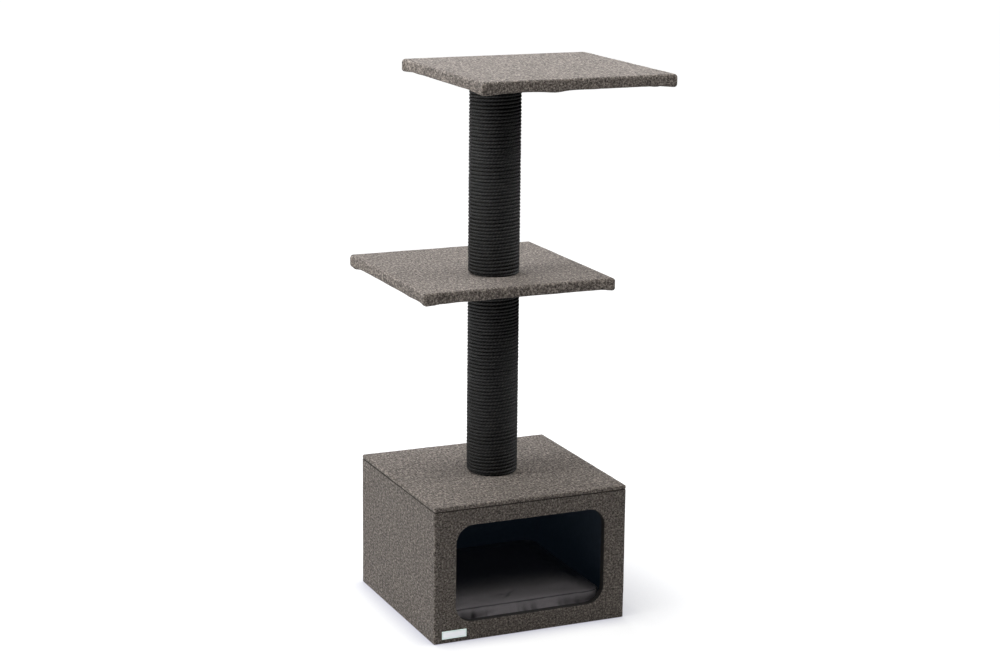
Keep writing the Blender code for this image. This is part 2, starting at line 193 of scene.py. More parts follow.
soft_light("back_top", (-0.1, 1.3, 2.3), (0.0, 0.0, 0.5), 1.4, 1.4, 58, (0.97, 1.0, 1.06))
soft_light("left", (-2.3, 0.3, 0.9), (0.0, 0.0, 0.35), 1.0, 1.4, 31)
soft_light("near_left", (-1.0, -0.1, 1.8), (0.0, 0.0, 0.7), 0.8, 0.8, 14)
soft_light("near_right", (1.2, -0.3, 1.5), (0.0, 0.0, 0.5), 0.8, 0.8, 15)
soft_light("near_front", (0.1, -0.9, 1.95), (0.0, -0.1, 0.8), 0.8, 0.8, 5)
soft_light("front", (0.9, -1.9, 2.9), (0.0, -0.1, 0.2), 1.4, 1.4, 11.5)

# %% [markdown]
# ## Felt
# Pressed wool is a tangle of light, dark and brownish fibres: salt and pepper from far off, crossing
# hairs from near. One node group mixes soft specks with fine fibres that run three ways, and puts out
# a colour and a height. It works in Object coordinates, so it needs no unwrapping.

# %% Fibre group


def group(name, inputs, outputs):
    """An empty shader node group with named sockets."""
    made = bpy.data.node_groups.new(name, "ShaderNodeTree")
    for label, kind, value in inputs:
        socket = made.interface.new_socket(label, in_out="INPUT", socket_type=kind)
        socket.default_value = value
    for label, kind in outputs:
        made.interface.new_socket(label, in_out="OUTPUT", socket_type=kind)
    return made, put(made, "NodeGroupInput").outputs, put(made, "NodeGroupOutput").inputs


def speckle(tree, vector, scale, detail=2.0, roughness=0.6):
    """Plain noise."""
    inputs = {"Vector": vector, "Scale": scale, "Detail": detail, "Roughness": roughness}
    return put(tree, "ShaderNodeTexNoise", inputs).outputs["Fac"]


def hairs(tree, vector, scale, turned, stretch, width):
    """Thin fibres that run one way: the ridges of a stretched noise."""
    inputs = {"Vector": vector, "Rotation": turned, "Scale": (stretch, 1.0, 1.0)}
    run = put(tree, "ShaderNodeMapping", inputs).outputs[0]
    value = speckle(tree, run, scale, 1.0)
    away = maths(tree, "ABSOLUTE", maths(tree, "SUBTRACT", value, 0.5))
    return ranged(tree, away, 0.0, width, 1.0, 0.0)


FIBRE_WAYS = ((0.3, 0.5, 0.2), (1.1, -0.4, 1.2), (-0.5, 0.9, 2.3))
melange, given, out = group(
    "melange",
    (
        ("Vector", "NodeSocketVector", (0, 0, 0)),
        ("Middle", "NodeSocketColor", (0.12, 0.11, 0.1, 1)),
        ("Light", "NodeSocketColor", (0.4, 0.38, 0.35, 1)),
        ("Dark", "NodeSocketColor", (0.02, 0.02, 0.02, 1)),
        ("Speck Scale", "NodeSocketFloat", 300.0),
        ("Fibre Scale", "NodeSocketFloat", 900.0),
        ("Specks", "NodeSocketFloat", 1.0),
    ),
    (("Color", "NodeSocketColor"), ("Height", "NodeSocketFloat")),
)
specks = speckle(melange, given["Vector"], given["Speck Scale"], 2.0, 0.75)
clouds = speckle(melange, given["Vector"], 70.0, 2.0)
fine = [hairs(melange, given["Vector"], given["Fibre Scale"], way, 0.12, 0.045) for way in FIBRE_WAYS]
pale = maths(melange, "MAXIMUM", fine[0], fine[1])
lit = maths(melange, "MULTIPLY", ranged(melange, specks, 0.51, 0.64), given["Specks"])
dim = maths(melange, "MULTIPLY", ranged(melange, specks, 0.49, 0.36), given["Specks"])
colour = mixed(melange, lit, given["Middle"], given["Light"])
colour = mixed(melange, dim, colour, given["Dark"])
colour = mixed(melange, maths(melange, "MULTIPLY", pale, 0.35), colour, given["Light"])
colour = mixed(melange, maths(melange, "MULTIPLY", fine[2], 0.45), colour, given["Dark"])
shade = ranged(melange, clouds, 0.3, 0.7, 0.90, 1.10)
shaded = put(melange, "ShaderNodeVectorMath", {0: colour, "Scale": shade}, operation="SCALE")
melange.links.new(shaded.outputs[0], out["Color"])
height = maths(melange, "ADD", maths(melange, "MULTIPLY", pale, 0.4), specks)
melange.links.new(height, out["Height"])

# %% Materials with a Principled shader


def principled(name, roughness, **sockets):
    """A new material, its tree, its shader, and Object coordinates."""
    made = bpy.data.materials.new(name)
    made.use_nodes = True
    shader = made.node_tree.nodes["Principled BSDF"]
    shader.inputs["Roughness"].default_value = roughness
    for label, value in sockets.items():
        shader.inputs[label.replace("_", " ")].default_value = value
    where = put(made.node_tree, "ShaderNodeTexCoord").outputs["Object"]
    return made, made.node_tree, shader, where


def bump(tree, shader, height, distance, strength=1.0):
    """A height in the shader's normal. Distance is in metres."""
    inputs = {"Height": height, "Distance": distance, "Strength": strength}
    tree.links.new(put(tree, "ShaderNodeBump", inputs).outputs[0], shader.inputs["Normal"])


FELT_DRAWN = (1.0, 0.5, 1.0)


def felt_material(name, middle, light, dark, seam=None):
    """Melange felt with a faint sheen. Its specks are drawn out from front to back, as it was stretched.
    It is dark just below a seam's height, where the roof's skirt shades it."""
    made, tree, shader, where = principled(name, 0.95, Sheen_Weight=0.12, Sheen_Roughness=0.5)
    shader.inputs["Specular IOR Level"].default_value = 0.10
    drawn = put(tree, "ShaderNodeMapping", {"Vector": where, "Scale": FELT_DRAWN}).outputs[0]
    inputs = {"Vector": drawn, "Middle": (*middle, 1), "Light": (*light, 1), "Dark": (*dark, 1)}
    fibres = put(tree, "ShaderNodeGroup", inputs, node_tree=melange)
    colour = fibres.outputs["Color"]
    if seam:
        height = put(tree, "ShaderNodeSeparateXYZ", {0: where}).outputs[2]
        under_skirt = ranged(tree, height, seam - 0.0022, seam - 0.0010)
        colour = mixed(tree, under_skirt, colour, (0.022, 0.018, 0.015, 1))
    tree.links.new(colour, shader.inputs["Base Color"])
    bump(tree, shader, fibres.outputs["Height"], 0.0007)
    return made


FELT_MIDDLE, FELT_LIGHT, FELT_DARK = (0.125, 0.106, 0.090), (0.36, 0.312, 0.272), (0.022, 0.017, 0.014)
felt = felt_material("grey_felt", FELT_MIDDLE, FELT_LIGHT, FELT_DARK)
# Painted shade: the walls get the platforms' felt, only darker, so they look more shaded than the lamps make
# them.
WALL_SHADE = 0.80
darker = [tuple(WALL_SHADE * part for part in tone) for tone in (FELT_MIDDLE, FELT_LIGHT, FELT_DARK)]
shaded_wall_felt = felt_material("grey_wall_felt_shaded", *darker, seam=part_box("side_felt")[1][2])

# %% [markdown]
# ## Cut, wrapped and turned-in felt
# Each cover is one cut of 2 mm felt. Its outer face is lofted through rounded rectangles, row by row,
# and Solidify gives it its thickness. All rows share the same stations along the sides, close together
# near the corners, so pleats and lumps can be pushed into the rows before the mesh is made.

# %% Outlines
FELT = 0.002


def stations(length, fine, fine_to, coarse):
    """Fractions along a side, close together near both of its ends."""
    near = np.arange(0.0, fine_to, fine)
    middle = np.linspace(fine_to, length - fine_to, max(2, round((length - 2 * fine_to) / coarse)))
    return np.concatenate([near, middle, (length - near)[::-1]]) / length


def outline(half, corner, along, steps=5):
    """A rounded rectangle, from the front left corner and on to the right: its points, outward normals,
    and for each point its side and how far along that side it is."""
    points, normals, sides, places = [], [], [], []
    corner = float(corner)
    for side in range(4):
        turned = Matrix.Rotation(side * math.pi / 2, 2)
        reach, depth = (half[0], half[1]) if side % 2 == 0 else (half[1], half[0])
        run = np.asarray(along[side]) * 2 * (reach - corner) - (reach - corner)
        for x in run:
            points.append(turned @ Vector((x, -depth)))
            normals.append(turned @ Vector((0, -1)))
            places.append(x + reach)
        for step in range(1, steps):
            angle = step / steps * math.pi / 2
            outward = Vector((math.sin(angle), -math.cos(angle)))
            points.append(turned @ (Vector((reach - corner, corner - depth)) + corner * outward))
            normals.append(turned @ outward)
            places.append(2 * reach - corner + corner * angle)
        sides += [side] * (len(run) + steps - 1)
    return np.array(points), np.array(normals), np.array(sides), np.array(places)


def skin(name, rows, cap=False):
    """A mesh object through closed rows of points. The last row can be closed with one face."""
    count = len(rows[0])
    points = np.concatenate(rows)
    faces = []
    for row in range(len(rows) - 1):
        for i in range(count):
            j = (i + 1) % count
            low, high = row * count, (row + 1) * count
            faces.append((low + i, low + j, high + j, high + i))
    if cap:
        faces.append(tuple((len(rows) - 1) * count + i for i in range(count)))
    mesh = bpy.data.meshes.new(name)
    mesh.from_pydata(points.tolist(), [], faces)
    made = bpy.data.objects.new(name, mesh)
    scene.collection.objects.link(made)
    return made


def finish_piece(piece, material, body, slot, *nodes):
    """Shades a piece smooth, gives it its finish and body, and hides the nodes that it replaces. Its slot is
    not used.
    """
    piece.data.materials.clear()
    piece.data.materials.append(material)
    piece.data.shade_smooth()
    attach(piece, body)
    if nodes:
        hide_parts(*nodes)
    return piece


def settle(piece):
    """Keeps what a piece's modifiers make of it, and removes them."""
    evaluated = piece.evaluated_get(bpy.context.evaluated_depsgraph_get())
    settled = bpy.data.meshes.new_from_object(evaluated)
    piece.modifiers.clear()
    piece.data = settled
    return piece


def thicken(piece, thickness, edge=0.0):
    """Cloth with its thickness inwards, and slightly worn edges."""
    solid = piece.modifiers.new("thickness", "SOLIDIFY")
    solid.thickness = thickness
    solid.offset = -1.0
    if edge:
        soft = piece.modifiers.new("edges", "BEVEL")
        soft.width = edge
        soft.segments = 2
        soft.limit_method = "ANGLE"
        soft.angle_limit = math.radians(60)
    return settle(piece)


def wave(x, y, z, seed):
    """Smooth noise from -1 to 1."""
    return noise.noise(Vector((x, y, z + 17.3 * seed)))


def step(value, low, high):
    """0 below low, 1 above high, and smooth between."""
    t = min(max((value - low) / (high - low), 0.0), 1.0)
    return t * t * (3 - 2 * t)


def hump(value, centre, width):
    """1 at the centre, and falling off smoothly at both sides."""
    return math.exp(-(((value - centre) / width) ** 2))


# %% [markdown]
# ## Platform covers
# A square of felt lies over each board, goes round its edges and is turned in and stapled below. At each
# corner the spare cloth is folded into one flat pleat, so the edge shows a crease there and the corner
# hangs a little lower. Between the corners the turned-in felt bulges here and there.

# %% Platform felt
HEM = 0.030
PLATFORM_CORNER = 0.0030
TOP_ROUND = 0.0048
BOTTOM_ROUND = 0.0042
PLEAT = 0.015
PLEAT_RAISE = 0.0014
TOP_RINGS = 26
STUD_HOLE = 0.0052
CLOSED_HOLE = 0.0008


def edge_profile(thickness):
    """From the hem's inner edge, under the platform, round its edge and on to its top: for each point
    how far it is inset, its height, and the outward and upward parts of its normal."""
    rows = [(inset, 0.0, 0.0, -1.0) for inset in np.linspace(HEM, BOTTOM_ROUND, 10)]
    for angle in np.linspace(0, math.pi / 2, 6)[1:]:
        across, up = math.sin(angle), math.cos(angle)
        rows.append((BOTTOM_ROUND * (1 - across), BOTTOM_ROUND * (1 - up), across, -up))
    for height in np.linspace(BOTTOM_ROUND, thickness - TOP_ROUND, 6)[1:]:
        rows.append((0.0, height, 1.0, 0.0))
    for angle in np.linspace(0, math.pi / 2, 6)[1:]:
        across, up = math.cos(angle), math.sin(angle)
        rows.append((TOP_ROUND * (1 - across), thickness - TOP_ROUND * (1 - up), across, up))
    return rows


def pleat_push(place, length, height, inset, thickness, seed):
    """How far the pleat near a side's start stands out, with the crease at its edge."""
    slant = PLEAT * (1.0 - 0.55 * height / thickness) + 0.002 * wave(height * 200, 0, 0, seed) + inset
    fades = step(thickness - height, 0.0015, 0.006)
    ahead = length - place
    raised = 1.0 - step(place, slant, slant + 0.0014)
    raised = max(raised, 0.6 * (1.0 - step(ahead, 0.002, 0.020)))
    crease = hump(place, slant + 0.0016, 0.0011)
    return fades * (PLEAT_RAISE * raised - 0.0009 * crease)


def platform_felt(name, node, body, lumps, seed, hole=None):
    """Felt round a platform. Lumps are (side, fraction along it, half width, depth) below its edge."""
    low, high = (Vector(corner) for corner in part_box(node))
    centre, size = (low + high) / 2, high - low
    half, thickness = (size.x / 2, size.y / 2), size.z
    along = [stations(2 * (reach - PLATFORM_CORNER), 0.0012, 0.026, 0.005) for reach in half] * 2
    rows = []
    for inset, height, across, up in edge_profile(thickness):
        corner = max(PLATFORM_CORNER - inset, 0.0015)
        shrunk = (half[0] - inset, half[1] - inset)
        flat, out, sides, places = outline(shrunk, corner, along)
        under = 1.0 - step(height, 0.002, thickness * 0.75)
        row = []
        for (x, y), (nx, ny), side, place in zip(flat, out, sides, places):
            length = 2 * (half[side % 2] - inset)
            push = 0.0005 * wave(x * 18, y * 18, height * 30, seed)
            push += 0.00025 * wave(x * 90, y * 90, height * 90, seed)
            pleats = pleat_push(place, length, height, 1.2 * inset, thickness, seed + side)
            push = push * (0.35 + 0.65 * abs(across)) + pleats
            drop = 0.0012 * max(0.0, wave(x * 25, y * 25, 5.0, seed))
            ends = min(place, length - place)
            drop += 0.0016 * hump(ends, 0.0, 0.016)
            for lump_side, fraction, width, depth in lumps:
                if side == lump_side:
                    drop += depth * hump(place / length, fraction, width)
            drop *= under * (0.3 + 0.7 * step(HEM - inset, 0.0, 0.012))
            row.append((
                centre.x + x + nx * push * across,
                centre.y + y + ny * push * across,
                low.z + height + push * up - drop,
            ))
        rows.append(np.array(row))
    rim = rows[-1]
    middle = np.array([*(hole or centre.xy), high.z])
    spread = rim - middle
    flatwise = spread[:, :2] / np.linalg.norm(spread[:, :2], axis=1)[:, None]
    radius = STUD_HOLE if hole else CLOSED_HOLE
    for t in np.linspace(0, 1, TOP_RINGS)[1:] ** 0.85:
        ring = rim * (1 - t)
        ring[:, :2] += t * (middle[:2] + radius * flatwise)
        ring[:, 2] += t * middle[2]
        for point in ring:
            point[2] += 0.0005 * step(t, 0.0, 0.15) * wave(point[0] * 14, point[1] * 14, 2.0, seed)
        rows.append(ring)
    piece = skin(name, rows, cap=not hole)
    piece = thicken(piece, FELT * 0.9)
    return finish_piece(piece, felt, body, "felt", node)


TOP_LUMPS = (
    (0, 0.37, 0.055, 0.0028), (0, 0.90, 0.012, 0.0014), (3, 0.93, 0.06, 0.0022), (1, 0.5, 0.1, 0.002),
)
MIDDLE_LUMPS = ((3, 0.05, 0.02, 0.0026), (0, 0.10, 0.05, 0.0012), (2, 0.4, 0.08, 0.002))
top_cover = platform_felt("top_platform_felt", "top_felt", "top_platform", TOP_LUMPS, seed=1)
middle_cover = platform_felt(
    "middle_platform_felt", "middle_felt", "middle_platform", MIDDLE_LUMPS, seed=2, hole=(0.0, 0.0)
)
for cover in (top_cover, middle_cover):
    print(cover.name, len(cover.data.polygons), "faces")

# %% [markdown]
# ## House covers
# One strip of felt goes round the four walls with its seam at the back, and a door is cut in it. The cut
# edge has to be clean, so rows and columns of the mesh run along the door's straight edges, and points
# near its round corners are moved onto them. A second piece covers the roof and turns down 4.5 mm over
# the strip's upper edge, which leaves the fine line round the top.

# %% Door outline
WALL_FELT_CORNER = 0.0025
house_low, house_high = (Vector(corner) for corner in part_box("side_felt"))
roof_low, roof_high = (Vector(corner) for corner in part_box("roof_felt"))
DOOR_HALF, DOOR_LOW, DOOR_HIGH, DOOR_CORNER = 0.140, 0.033, 0.207, 0.032


def door_distance(x, z):
    """How far a place on the front is outside the door, and the way to the nearest place on its edge."""
    middle = (DOOR_LOW + DOOR_HIGH) / 2
    away = Vector((abs(x) - DOOR_HALF + DOOR_CORNER, abs(z - middle) - (DOOR_HIGH - middle) + DOOR_CORNER))
    outside = Vector((max(away.x, 0.0), max(away.y, 0.0)))
    distance = outside.length + min(max(away.x, away.y), 0.0) - DOOR_CORNER
    if outside.length > 0:
        way = outside.normalized()
    else:
        way = Vector((1.0, 0.0)) if away.x > away.y else Vector((0.0, 1.0))
    return distance, Vector((math.copysign(way.x, x), math.copysign(way.y, z - middle)))


# %% Wall felt


def even(length, spacing, *marks):
    """Fractions along a side at an even spacing, and at each mark."""
    places = set(np.linspace(0.0, length, round(length / spacing) + 1))
    for mark in marks:
        places = {place for place in places if abs(place - mark) > spacing * 0.45} | {mark}
    return np.array(sorted(places)) / length


def wall_felt():
    """The strip round the walls, with the door cut out of it."""
    half = ((house_high.x - house_low.x) / 2, (house_high.y - house_low.y) / 2)
    straight = [2 * (reach - WALL_FELT_CORNER) for reach in half]
    marks = [straight[0] / 2 + edge for edge in (-DOOR_HALF, DOOR_HALF)]
    along = [even(straight[0], 0.004, *marks), even(straight[1], 0.006)] + [even(straight[0], 0.006)]
    along.append(along[1])
    height = house_high.z - house_low.z
    heights = even(height, 0.004, DOOR_LOW - house_low.z, DOOR_HIGH - house_low.z) * height + house_low.z
    tucked = house_high.z - np.array([0.0022, 0.0015, 0.0008])
    heights = np.sort(np.concatenate([heights, tucked]))
    flat, out, sides, _ = outline(half, WALL_FELT_CORNER, along)
    rows = []
    for z in heights:
        row = []
        for (x, y), (nx, ny), side in zip(flat, out, sides):
            push = 0.0003 * wave(x * 22, y * 22, z * 22, 3) + 0.00012 * wave(x * 120, y * 120, z * 120, 4)
            seam = hump(x, 0.0, 0.0012) if side == 2 else 0.0
            push -= 0.0010 * seam + 0.0011 * (1.0 - step(house_high.z - z, 0.0, 0.0022))
            row.append((x + nx * push, y + ny * push, z))
        rows.append(np.array(row))
    piece = skin("wall_felt", rows)
    bm = bmesh.new()
    bm.from_mesh(piece.data)
    front = house_low.y + 0.001
    inside = []
    for face in bm.faces:
        middle = face.calc_center_median()
        if middle.y < front and door_distance(middle.x, middle.z)[0] < 0:
            inside.append(face)
    bmesh.ops.delete(bm, geom=inside, context="FACES")
    for vertex in bm.verts:
        if vertex.co.y > front:
            continue
        distance, way = door_distance(vertex.co.x, vertex.co.z)
        if distance < 0 or (vertex.is_boundary and distance < 0.003):
            vertex.co.x -= way.x * distance
            vertex.co.z -= way.y * distance
    bm.to_mesh(piece.data)
    bm.free()
    piece = thicken(piece, FELT, edge=0.0004)
    return finish_piece(piece, shaded_wall_felt, "stand", "felt", "side_felt")


walls = wall_felt()
print(walls.name, len(walls.data.polygons), "faces")

# %% Roof felt
ROOF_ROUND = 0.0022


def roof_felt():
    """The felt over the roof, with its narrow skirt and the bolt's hole."""
    half = ((roof_high.x - roof_low.x) / 2, (roof_high.y - roof_low.y) / 2)
    skirt = roof_high.z - roof_low.z
    ease = ROOF_ROUND
    profile = [(0.0009, 0.0, 1.0, 0.0), (0.0003, 0.0005, 1.0, 0.0), (0.0, 0.0012, 1.0, 0.0)]
    profile.append((0.0, skirt - ease, 1.0, 0.0))
    for angle in np.linspace(0, math.pi / 2, 6)[1:]:
        across, up = math.cos(angle), math.sin(angle)
        profile.append((ease * (1 - across), skirt - ease * (1 - up), across, up))
    along = [stations(2 * (reach - WALL_FELT_CORNER), 0.003, 0.012, 0.004) for reach in half] * 2
    rows = []
    for inset, height, across, up in profile:
        shrunk = (half[0] - inset, half[1] - inset)
        flat, out, _, _ = outline(shrunk, max(WALL_FELT_CORNER - inset, 0.0006), along)
        row = []
        for (x, y), (nx, ny) in zip(flat, out):
            push = 0.0003 * wave(x * 22, y * 22, height * 60, 5)
            push += 0.0002 * wave(x * 110, y * 110, height * 110, 6)
            dip = 0.0004 * wave(x * 45, y * 45, 1.0, 7) if height < 0.001 else 0.0
            z = roof_low.z + height + push * up - dip
            row.append((x + nx * push * across, y + ny * push * across, z))
        rows.append(np.array(row))
    rim = rows[-1]
    away = rim[:, :2] / np.linalg.norm(rim[:, :2], axis=1)[:, None]
    for t in np.linspace(0, 1, TOP_RINGS)[1:]:
        ring = rim * (1 - t)
        ring[:, :2] += t * STUD_HOLE * away
        ring[:, 2] += t * roof_high.z
        for point in ring:
            point[2] += 0.0003 * step(t, 0.0, 0.15) * wave(point[0] * 14, point[1] * 14, 2.0, 8)
        rows.append(ring)
    piece = thicken(skin("roof_cover", rows), FELT * 0.9, edge=0.0004)
    return finish_piece(piece, felt, "stand", "felt", "roof_felt")


roof_cover = roof_felt()
print(roof_cover.name, len(roof_cover.data.polygons), "faces")

# %% [markdown]
# ## Sisal rope
# Each post is wound with about 15 m of 6 mm rope of three strands. It can be one long curve: a helix
# whose first and last turns are drawn out to a thin end, as the winder flattens them, with a three-lobed
# profile swept along it. The curve's tilt twists the profile, and that makes the strands. The turns drift
# up and down together, so the winding looks hand-made without opening gaps. Geometry Nodes suit this,
# because one rule gives the whole post, and the same tree makes both.
#
# The finish follows each strand: threads along the strand, brownish patches and a few bleached flecks.
# Between the lobes it is painted almost black, as shade in the grooves, which leaves the crests paler.

# %% Geometry Nodes helpers


def geometry_tree(name, inputs):
    """An empty geometry tree that takes and gives a geometry, and has named inputs."""
    made = bpy.data.node_groups.new(name, "GeometryNodeTree")
    made.interface.new_socket("Geometry", in_out="INPUT", socket_type="NodeSocketGeometry")
    for label, kind, value in inputs:
        socket = made.interface.new_socket(label, in_out="INPUT", socket_type=kind)
        if value is not None:
            socket.default_value = value
    made.interface.new_socket("Geometry", in_out="OUTPUT", socket_type="NodeSocketGeometry")
    return made, put(made, "NodeGroupInput").outputs


def end_tree(tree, geometry, material):
    """Realises what the tree made and gives it its material."""
    real = put(tree, "GeometryNodeRealizeInstances", {0: geometry}).outputs[0]
    real = put(tree, "GeometryNodeSetShadeSmooth", {0: real}).outputs[0]
    finished = put(tree, "GeometryNodeSetMaterial", {0: real, "Material": material}).outputs[0]
    put(tree, "NodeGroupOutput", {0: finished})


def grow(name, tree, values, source=None):
    """Runs a tree on a source mesh, or on none, and keeps its result as a plain mesh object."""
    mesh = source.data.copy() if source else bpy.data.meshes.new(name)
    made = bpy.data.objects.new(name, mesh)
    scene.collection.objects.link(made)
    modifier = made.modifiers.new("grow", "NODES")
    modifier.node_group = tree
    for item in tree.interface.items_tree:
        if item.in_out == "INPUT" and item.name in values:
            modifier[item.identifier] = values[item.name]
    bpy.context.view_layer.update()
    settle(made)
    print(name, len(made.data.polygons), "faces")
    return made


# %% Sisal finish
LOBE_FROM, LOBE_TO = 0.72, 1.06
sisal, tree, shader, where = principled("black_sisal", 0.52, Sheen_Weight=0.03, Sheen_Roughness=0.4)
shader.inputs["Specular IOR Level"].default_value = 0.35
follow = put(tree, "ShaderNodeAttribute", attribute_name="strand").outputs["Vector"]
stretched = put(tree, "ShaderNodeMapping", {"Vector": follow, "Scale": (1.0, 1.0, 95.0)}).outputs[0]
threads = speckle(tree, stretched, 5.5, 3.0, 0.7)
patches = speckle(tree, where, 60.0, 2.0)
flecks = speckle(tree, where, 330.0, 2.0)
across = put(tree, "ShaderNodeMapping", {"Vector": follow, "Scale": (1.0, 1.0, 0.0)}).outputs[0]
reach = put(tree, "ShaderNodeVectorMath", {0: across}, operation="LENGTH").outputs["Value"]
crest_unshaded = ranged(tree, reach, LOBE_FROM, LOBE_TO)
black = mixed(tree, ranged(tree, threads, 0.35, 0.68), (0.007, 0.007, 0.007, 1), (0.105, 0.100, 0.092, 1))
black = mixed(tree, ranged(tree, patches, 0.5, 0.75, 0.0, 0.5), black, (0.060, 0.054, 0.047, 1))
fleck = maths(tree, "MULTIPLY", ranged(tree, flecks, 0.60, 0.72), ranged(tree, threads, 0.45, 0.6))
black = mixed(tree, fleck, black, (0.165, 0.150, 0.128, 1))
mottled = ranged(tree, speckle(tree, where, 210.0, 2.0), 0.40, 0.62, 0.25, 1.0)
# Painted shade: between the lobes the colour goes almost black, as shade in the grooves.
black = mixed(tree, maths(tree, "MULTIPLY", crest_unshaded, mottled), (0.0015, 0.0018, 0.0026, 1), black)
tree.links.new(black, shader.inputs["Base Color"])
bump(tree, shader, threads, 0.0004)

# %% Rope tree
PROFILE_POINTS = 12
LOBE_DEPTH, LOBE_MIDDLE = 0.27, 0.81
THIN_END = 0.16
JITTER, SWAY = 0.0009, 0.0006
DRIFT, SLOPE = 0.006, 0.0011
rope_tree, given = geometry_tree(
    "wound_rope",
    (
        ("Tube Radius", "NodeSocketFloat", 0.039),
        ("Rope Radius", "NodeSocketFloat", 0.003),
        ("Pitch", "NodeSocketFloat", 0.00595),
        ("Bottom", "NodeSocketFloat", 0.0),
        ("Lay", "NodeSocketFloat", 0.017),
        ("Turns", "NodeSocketFloat", 57.6),
        ("Points", "NodeSocketInt", 7000),
        ("Seed", "NodeSocketFloat", 1.0),
    ),
)
g = rope_tree
line = put(g, "GeometryNodeCurvePrimitiveLine", {"End": (0, 0, 1)}).outputs[0]
line = put(g, "GeometryNodeResampleCurve", {"Curve": line, "Count": given["Points"]}).outputs[0]
factor = put(g, "GeometryNodeSplineParameter").outputs["Factor"]
turned = maths(g, "MULTIPLY", factor, given["Turns"])
left = maths(g, "SUBTRACT", given["Turns"], turned)
opening = ranged(g, turned, 0.0, 1.0, THIN_END, 1.0)
closing = ranged(g, left, 0.0, 1.0, THIN_END, 1.0)
plain = maths(g, "SUBTRACT", given["Turns"], 2.0)
climbed = put(g, "ShaderNodeClamp", {0: maths(g, "SUBTRACT", turned, 1.0), 1: 0.0, 2: plain}).outputs[0]
lift = maths(g, "MULTIPLY", climbed, given["Pitch"])
shift = maths(g, "ADD", maths(g, "SUBTRACT", opening, closing), 1.0)
lift = maths(g, "ADD", lift, maths(g, "MULTIPLY", shift, given["Rope Radius"]))


def unsteadiness(per_turn, detail):
    """Smooth noise along the rope, from -0.5 to 0.5."""
    along = maths(g, "MULTIPLY_ADD", turned, per_turn, given["Seed"])
    inputs = {"W": along, "Scale": 1.0, "Detail": detail}
    made = put(g, "ShaderNodeTexNoise", inputs, noise_dimensions="1D")
    return maths(g, "SUBTRACT", made.outputs[0], 0.5)


unsteady = unsteadiness(2.3, 3.0)
drift = unsteadiness(0.11, 1.0)
inner = maths(g, "MULTIPLY", ranged(g, turned, 1.0, 4.0), ranged(g, left, 1.0, 4.0))
jitter = maths(g, "MULTIPLY", maths(g, "MULTIPLY", unsteady, JITTER), inner)
lift = maths(g, "ADD", lift, jitter)
wander = maths(g, "MULTIPLY", drift, DRIFT)
slope = maths(g, "MULTIPLY", maths(g, "COSINE", maths(g, "MULTIPLY_ADD", turned, math.tau, 0.6)), SLOPE)
wander = maths(g, "MULTIPLY", maths(g, "ADD", wander, slope), inner)
lift = maths(g, "ADD", lift, wander)
lift = maths(g, "ADD", lift, given["Bottom"])
angle = maths(g, "MULTIPLY", turned, math.tau)
slim = maths(g, "MULTIPLY", maths(g, "MINIMUM", opening, closing), given["Rope Radius"])
away = maths(g, "ADD", given["Tube Radius"], slim)
away = maths(g, "ADD", away, maths(g, "MULTIPLY", unsteady, SWAY))
place = put(g, "ShaderNodeCombineXYZ", {
    0: maths(g, "MULTIPLY", maths(g, "COSINE", angle), away),
    1: maths(g, "MULTIPLY", maths(g, "SINE", angle), away),
    2: lift,
}).outputs[0]
helix = put(g, "GeometryNodeSetPosition", {"Geometry": line, "Position": place}).outputs[0]
helix = put(g, "GeometryNodeSetCurveNormal", {"Curve": helix}, mode="Z_UP").outputs[0]
round_once = maths(g, "MULTIPLY", maths(g, "ADD", given["Tube Radius"], given["Rope Radius"]), math.tau)
run = maths(g, "MULTIPLY", turned, round_once)
twist = maths(g, "MULTIPLY", maths(g, "DIVIDE", run, given["Lay"]), -math.tau)
twist = maths(g, "ADD", twist, maths(g, "MULTIPLY", unsteady, 2.0))
helix = put(g, "GeometryNodeSetCurveTilt", {"Curve": helix, "Tilt": twist}).outputs[0]
helix = put(g, "GeometryNodeStoreNamedAttribute", {
    "Geometry": helix, "Name": "run", "Value": run,
}, data_type="FLOAT", domain="POINT").outputs[0]
ring = put(g, "GeometryNodeCurvePrimitiveCircle", {"Resolution": PROFILE_POINTS, "Radius": 1.0}).outputs[0]
index = put(g, "GeometryNodeInputIndex").outputs[0]
around = maths(g, "MULTIPLY", index, math.tau / PROFILE_POINTS)
lobes = maths(g, "COSINE", maths(g, "MULTIPLY", around, 3.0))
reach = maths(g, "MULTIPLY_ADD", lobes, LOBE_DEPTH, LOBE_MIDDLE)
lobed = put(g, "ShaderNodeCombineXYZ", {
    0: maths(g, "MULTIPLY", maths(g, "COSINE", around), reach),
    1: maths(g, "MULTIPLY", maths(g, "SINE", around), reach),
    2: 0.0,
}).outputs[0]
ring = put(g, "GeometryNodeSetPosition", {"Geometry": ring, "Position": lobed}).outputs[0]
ring = put(g, "GeometryNodeStoreNamedAttribute", {
    "Geometry": ring, "Name": "side", "Value": lobed,
}, data_type="FLOAT_VECTOR", domain="POINT").outputs[0]
swept = put(g, "GeometryNodeCurveToMesh", {
    "Curve": helix, "Profile Curve": ring, "Scale": slim, "Fill Caps": True,
}).outputs[0]
run_read = put(g, "GeometryNodeInputNamedAttribute", {"Name": "run"}, data_type="FLOAT").outputs[0]
side_read = put(g, "GeometryNodeInputNamedAttribute", {"Name": "side"}, data_type="FLOAT_VECTOR").outputs[0]
split = put(g, "ShaderNodeSeparateXYZ", {0: side_read}).outputs
strand = put(g, "ShaderNodeCombineXYZ", {0: split[0], 1: split[1], 2: run_read}).outputs[0]
swept = put(g, "GeometryNodeStoreNamedAttribute", {
    "Geometry": swept, "Name": "strand", "Value": strand,
}, data_type="FLOAT_VECTOR", domain="POINT").outputs[0]
end_tree(g, swept, sisal)

